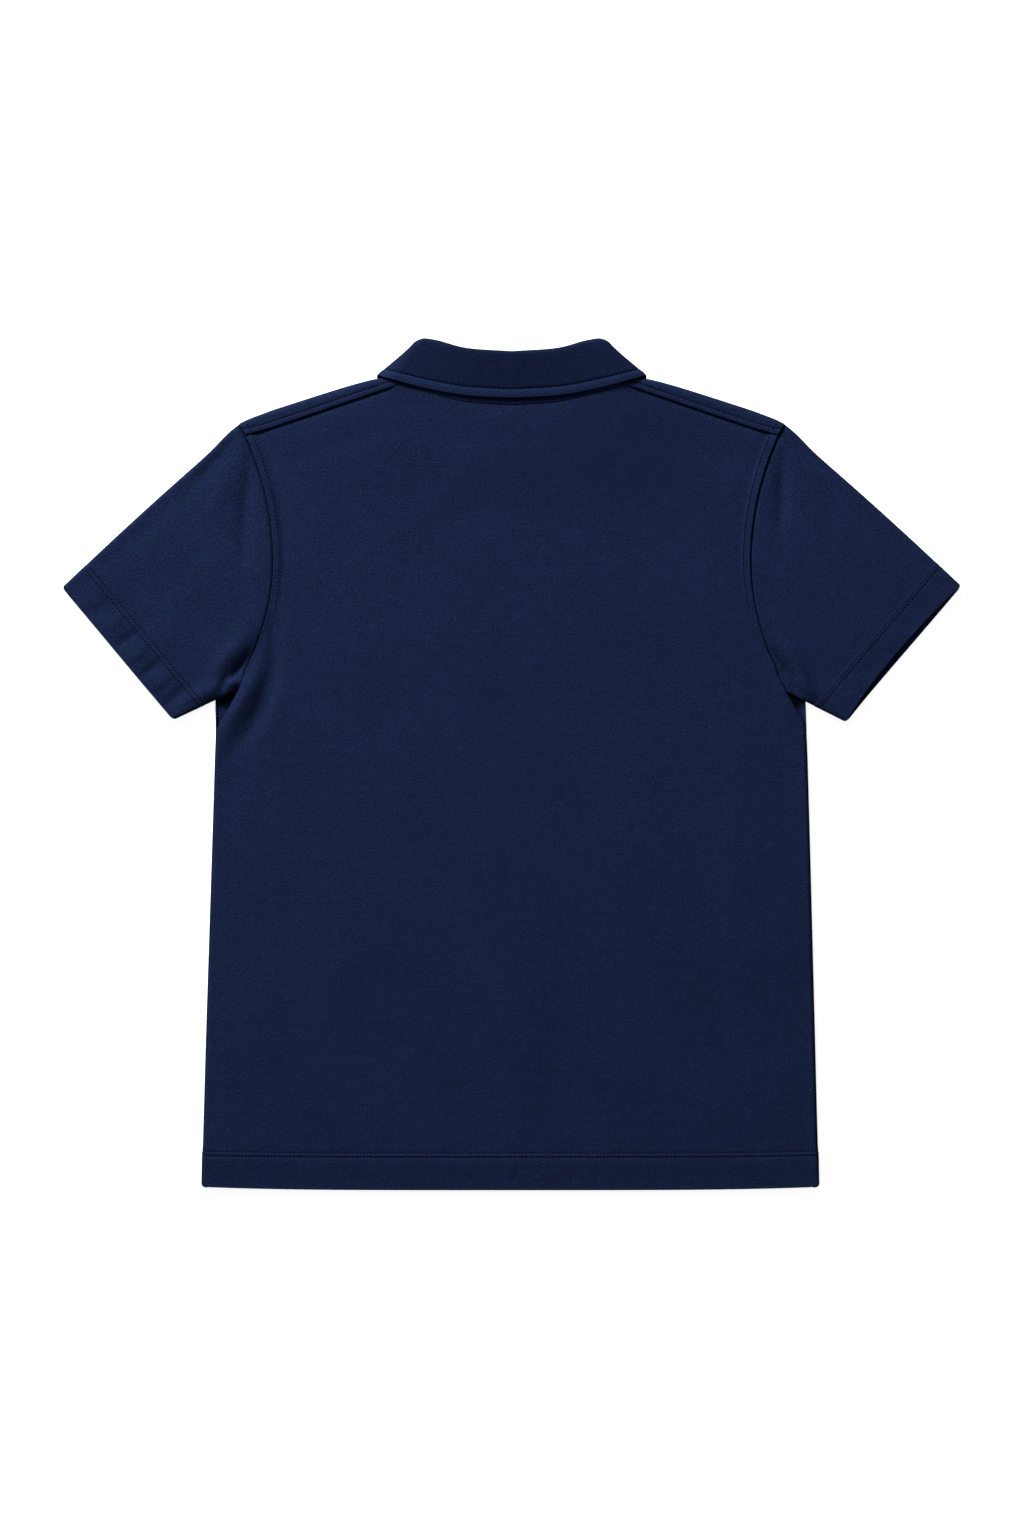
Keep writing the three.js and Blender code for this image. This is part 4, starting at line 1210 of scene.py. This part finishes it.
class Look:
    """A Principled material with a short way to add nodes."""

    def __init__(self, name):
        self.material = bpy.data.materials.new(name)
        self.material.use_nodes = True
        self.tree = self.material.node_tree
        self.shader = self.tree.nodes["Principled BSDF"]

    def add(self, kind, inputs=None, **settings):
        node = self.tree.nodes.new(kind)
        for key, value in settings.items():
            setattr(node, key, value)
        for key, value in (inputs or {}).items():
            if isinstance(value, bpy.types.NodeSocket):
                self.tree.links.new(value, node.inputs[key])
            else:
                node.inputs[key].default_value = value
        return node

    def maths(self, operation, a, b=0.0):
        node = self.add("ShaderNodeMath", {0: a, 1: b}, operation=operation)
        return node.outputs[0]

    def colours(self, share, low, high):
        node = self.add("ShaderNodeMix", data_type="RGBA")
        self.tree.links.new(share, node.inputs["Factor"])
        for socket, value in (("A", low), ("B", high)):
            target = next(s for s in node.inputs if s.name == socket and s.type == "RGBA")
            if isinstance(value, bpy.types.NodeSocket):
                self.tree.links.new(value, target)
            else:
                target.default_value = (*value, 1)
        return next(s for s in node.outputs if s.type == "RGBA")

    def ramp(self, value, start=0.0, end=1.0, low=0.0, high=1.0):
        """The value carried over from start and end to low and high, and held there beyond them."""
        return self.add(
            "ShaderNodeMapRange",
            {"Value": value, "From Min": start, "From Max": end, "To Min": low, "To Max": high},
        ).outputs[0]

    def product(self, a, b):
        return self.add("ShaderNodeVectorMath", {0: a, 1: b}, operation="MULTIPLY").outputs[0]

    def painted_crevice_shade(self, shade, reach):
        """The colour with painted shade: darker where other cloth closes round it within that many
        millimetres, as ambient occlusion finds it.
        """
        shut = self.add(
            "ShaderNodeAmbientOcclusion", {"Distance": reach * MILLIMETRE}, samples=6
        ).outputs["AO"]
        return self.product(shade, self.ramp(shut, 0.42, 0.84, low=0.08))

    def painted_hollow_shade(self, shade):
        """The colour with painted shade: nearly black deep in the hollow below each sleeve, on the cloth that
        faces up.
        """
        place = self.add("ShaderNodeTexCoord").outputs["Object"]
        x, y, z = self.add("ShaderNodeSeparateXYZ", {0: place}).outputs
        sideways = self.maths("SUBTRACT", self.maths("ABSOLUTE", x), HOLLOW_SHADE_SPOT[0] * MILLIMETRE)
        upward = self.maths("SUBTRACT", y, (HOLLOW_SHADE_SPOT[1] + HEM_LINE) * MILLIMETRE)
        facing = self.add("ShaderNodeNewGeometry").outputs["Normal"]
        faces_down = self.maths("LESS_THAN", self.add("ShaderNodeSeparateXYZ", {0: facing}).outputs[2], 0.0)
        higher = self.maths("ADD", self.maths("MULTIPLY", z, 3.0), self.maths("MULTIPLY", faces_down, 0.05))
        apart = self.add("ShaderNodeCombineXYZ", {0: sideways, 1: upward, 2: higher}).outputs[0]
        apart = self.add("ShaderNodeVectorMath", {0: apart}, operation="LENGTH").outputs["Value"]
        return self.product(shade, self.ramp(apart, 8 * MILLIMETRE, 14 * MILLIMETRE, low=0.12))

    def to_shader(self, socket, name):
        self.tree.links.new(socket, self.shader.inputs[name])

    def set(self, **values):
        for name, value in values.items():
            self.shader.inputs[name.replace("_", " ")].default_value = value


def scaled(colour, by):
    return tuple(c * by for c in colour)


def cloth_place(look):
    """The place on the cloth, in millimetres."""
    place = look.add("ShaderNodeUVMap", uv_map="cloth").outputs[0]
    return look.product(place, (1000, 1000, 1000))


def noise(look, place, size, detail=2.0, roughness=0.5):
    """Noise with cells about that many millimetres wide."""
    node = look.add(
        "ShaderNodeTexNoise",
        {"Vector": place, "Scale": 1 / size, "Detail": detail, "Roughness": roughness},
        noise_dimensions="2D",
    )
    return node.outputs[0]


def curls(look, place):
    """Short curved strokes in the nap, as contours of a soft noise, broken up by another."""
    bands = look.maths("SINE", look.maths("MULTIPLY", noise(look, place, 15, 0.0), 42.0))
    lines = look.maths("POWER", look.maths("ADD", look.maths("MULTIPLY", bands, 0.5), 0.5), 2.6)
    return look.maths("MULTIPLY", lines, look.ramp(noise(look, place, 8, 2), 0.38, 0.58))


def cloth_look(name, colour, wale, course, edge_band=None):
    """Navy knitted cotton: pique cells in half-drop rows, curled nap and soft mottling.

    With an edge band, the cloth is lighter along its edge, partly for the edge's own knit and partly as a
    painted highlight where the puffed edge catches the light, and a little lighter away from its middle as a
    painted highlight on the collar's raised ends.
    """
    look = Look(name)
    place = cloth_place(look)
    cells = look.add(
        "ShaderNodeTexBrick",
        {"Vector": place, "Scale": 1.0, "Mortar Size": 0.3, "Mortar Smooth": 1.0,
         "Brick Width": wale, "Row Height": course},
    ).outputs["Fac"]
    nap = curls(look, place)
    patches = noise(look, place, 11, 2, 0.5)
    fine = noise(look, place, 1.7, 1, 0.6)
    height = look.maths("SUBTRACT", look.maths("MULTIPLY", fine, 0.45), look.maths("MULTIPLY", cells, 0.1))
    height = look.maths("ADD", height, look.maths("MULTIPLY", nap, 0.08))
    bump = look.add("ShaderNodeBump", {"Height": height, "Strength": 1.0, "Distance": MILLIMETRE})
    look.to_shader(bump.outputs[0], "Normal")

    mottle = 0.5
    for part, weight in ((noise(look, place, 75, 3, 0.55), 0.2), (patches, 0.2), (fine, 1.1)):
        mottle = look.maths("ADD", mottle, look.maths("MULTIPLY", look.maths("SUBTRACT", part, 0.5), weight))
    mottle = look.maths("ADD", mottle, look.maths("MULTIPLY", look.maths("SUBTRACT", nap, 0.2), 0.17))
    mottle = look.maths("SUBTRACT", mottle, look.maths("MULTIPLY", cells, 0.12))
    shade = look.colours(mottle, scaled(colour, 0.5), scaled(colour, 1.6))
    if edge_band:
        along_cloth, depth_on_cloth = look.add("ShaderNodeSeparateXYZ", {0: place}).outputs[:2]
        # painted highlight, growing towards the collar's ends
        corner_highlight = look.ramp(look.maths("ABSOLUTE", along_cloth), 30.0, 85.0, high=0.3)
        shade = look.colours(corner_highlight, shade, scaled(colour, edge_band["gain"]))
        # the band along the edge: partly its own knit, partly painted highlight
        depth = edge_band["depth"]
        inside = look.ramp(depth_on_cloth, depth - 0.5, depth + 0.3, low=1.0, high=0.0)
        shade = look.colours(inside, shade, scaled(colour, edge_band["gain"]))
    # Painted shade: darker in the crevices between layers, and nearly black in the hollow below each sleeve
    shade = look.painted_hollow_shade(look.painted_crevice_shade(shade, CREVICE_SHADE_REACH))
    look.to_shader(shade, "Base Color")
    look.to_shader(look.ramp(patches, low=0.85), "Roughness")
    look.set(Specular_IOR_Level=0.03, Sheen_Weight=0.008, Sheen_Roughness=0.4, Sheen_Tint=(0.4, 0.6, 1, 1))
    return look.material


def thread_look(colour):
    look = Look("thread")
    place = look.add("ShaderNodeTexCoord").outputs["Object"]
    twist = look.add(
        "ShaderNodeTexWave",
        {"Vector": place, "Scale": 900.0, "Distortion": 1.5, "Detail": 1.0},
        bands_direction="DIAGONAL",
    ).outputs["Fac"]
    look.to_shader(look.colours(twist, scaled(colour, 0.7), scaled(colour, 1.35)), "Base Color")
    bump = look.add("ShaderNodeBump", {"Height": twist, "Strength": 0.6, "Distance": 0.00008})
    look.to_shader(bump.outputs[0], "Normal")
    look.set(Roughness=0.85, Specular_IOR_Level=0.04)
    return look.material


def button_look(colour):
    """Dyed resin with faint clouding, its roughness following the clouding."""
    look = Look("button")
    place = look.add("ShaderNodeTexCoord").outputs["Object"]
    cloud = look.add("ShaderNodeTexNoise", {"Vector": place, "Scale": 380.0, "Detail": 4.0}).outputs[0]
    look.to_shader(look.colours(cloud, scaled(colour, 0.7), scaled(colour, 1.5)), "Base Color")
    look.to_shader(look.ramp(cloud, low=0.3, high=0.5), "Roughness")
    look.set(Coat_Weight=0.1, Coat_Roughness=0.3, Specular_IOR_Level=0.25)
    return look.material


def floor_look():
    look = Look("floor")
    place = look.add("ShaderNodeTexCoord").outputs["Object"]
    grain = look.add("ShaderNodeTexNoise", {"Vector": place, "Scale": 3.0}).outputs[0]
    look.to_shader(look.colours(grain, (0.86, 0.86, 0.865), (0.88, 0.88, 0.885)), "Base Color")
    look.set(Roughness=0.9, Specular_IOR_Level=0.1, Emission_Color=(1, 1, 1, 1), Emission_Strength=0.8)
    return look.material


# Stage, lights and camera
def make_floor():
    reach = 4.0
    mesh = bpy.data.meshes.new("floor")
    level = -0.0003
    corners = [(-reach, -reach, level), (reach, -reach, level), (reach, reach, level), (-reach, reach, level)]
    mesh.from_pydata(corners, [], [(0, 1, 2, 3)])
    floor = bpy.data.objects.new("floor", mesh)
    bpy.context.scene.collection.objects.link(floor)
    floor.data.materials.append(floor_look())
    floor.visible_diffuse = False
    floor.visible_glossy = False


def soft_light(name, at, aim, size, power):
    data = bpy.data.lights.new(name, "AREA")
    data.shape = "RECTANGLE"
    data.size, data.size_y = size
    data.energy = power
    light = bpy.data.objects.new(name, data)
    light.location = at
    light.rotation_euler = (Vector(aim) - Vector(at)).to_track_quat("-Z", "Y").to_euler()
    bpy.context.scene.collection.objects.link(light)


def make_lights():
    soft_light("key", (-1.9, 3.45, 1.95), (0, 0, 0), (1.3, 0.9), 370)
    world = bpy.data.worlds.new("studio")
    world.use_nodes = True
    backdrop = world.node_tree.nodes["Background"]
    backdrop.inputs["Color"].default_value = (1, 1, 1, 1)
    backdrop.inputs["Strength"].default_value = 0.24
    bpy.context.scene.world = world


def make_camera():
    """Straight down on the back, so that the photo's long side spans 1.3824 m at the cloth."""
    data = bpy.data.cameras.new("camera")
    data.lens = 85
    data.sensor_width = 36
    distance = 1.3824 * data.lens / data.sensor_width
    camera = bpy.data.objects.new("camera", data)
    camera.location = (0.0002, -0.0032, distance + 0.005)
    bpy.context.scene.collection.objects.link(camera)
    bpy.context.scene.camera = camera
    bpy.context.scene.view_settings.view_transform = "Standard"


def dress(piece, material, slot, *nodes):
    piece.data.materials.clear()
    piece.data.materials.append(material)
    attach(piece, "root")
    if nodes:
        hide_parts(*nodes)
    return piece


NAVY = (0.0083, 0.0152, 0.0478)
jersey = cloth_look("jersey", NAVY, 1.25, 1.0)
# the rib's lighter edge band is partly its own knit and partly painted highlight, and its lighter ends are
# painted highlight
rib = cloth_look("rib", scaled(NAVY, 0.66), 1.3, 0.9, edge_band={"depth": LEAF_STITCH, "gain": 1.95})
# thread far darker than the cloth: its own dark navy, and partly painted shade of the needle holes it lies in
thread = thread_look(scaled(NAVY, 0.2))
resin = button_look((0.012, 0.018, 0.045))

make_camera()
make_floor()
make_lights()

back = dress(make_back(), jersey, "jersey", "back_panel")
front = dress(make_front(), jersey, "jersey", "front_panel")
sleeves = [dress(make_sleeve(cuff), jersey, "jersey", cuff["name"]) for cuff in CUFFS]
collar = dress(make_collar(), rib, "rib", "collar")
strips = [
    dress(make_strip("placket_upper", "placket_upper_cloth", 1), jersey, "jersey", "placket_upper"),
    dress(make_strip("placket_under", "placket_under_cloth", 0.5), jersey, "jersey", "placket_under"),
]
for number in (1, 2, 3):
    dress(make_button(f"button_{number}"), resin, "button", f"button_{number}")
sewn = [*sew_seams(back, front, sleeves, collar), sew_placket(strips), sew_buttons()]
seams = {seam.name: seam for seam in sewn}
for seam in seams.values():
    dress(seam, thread, "jersey")
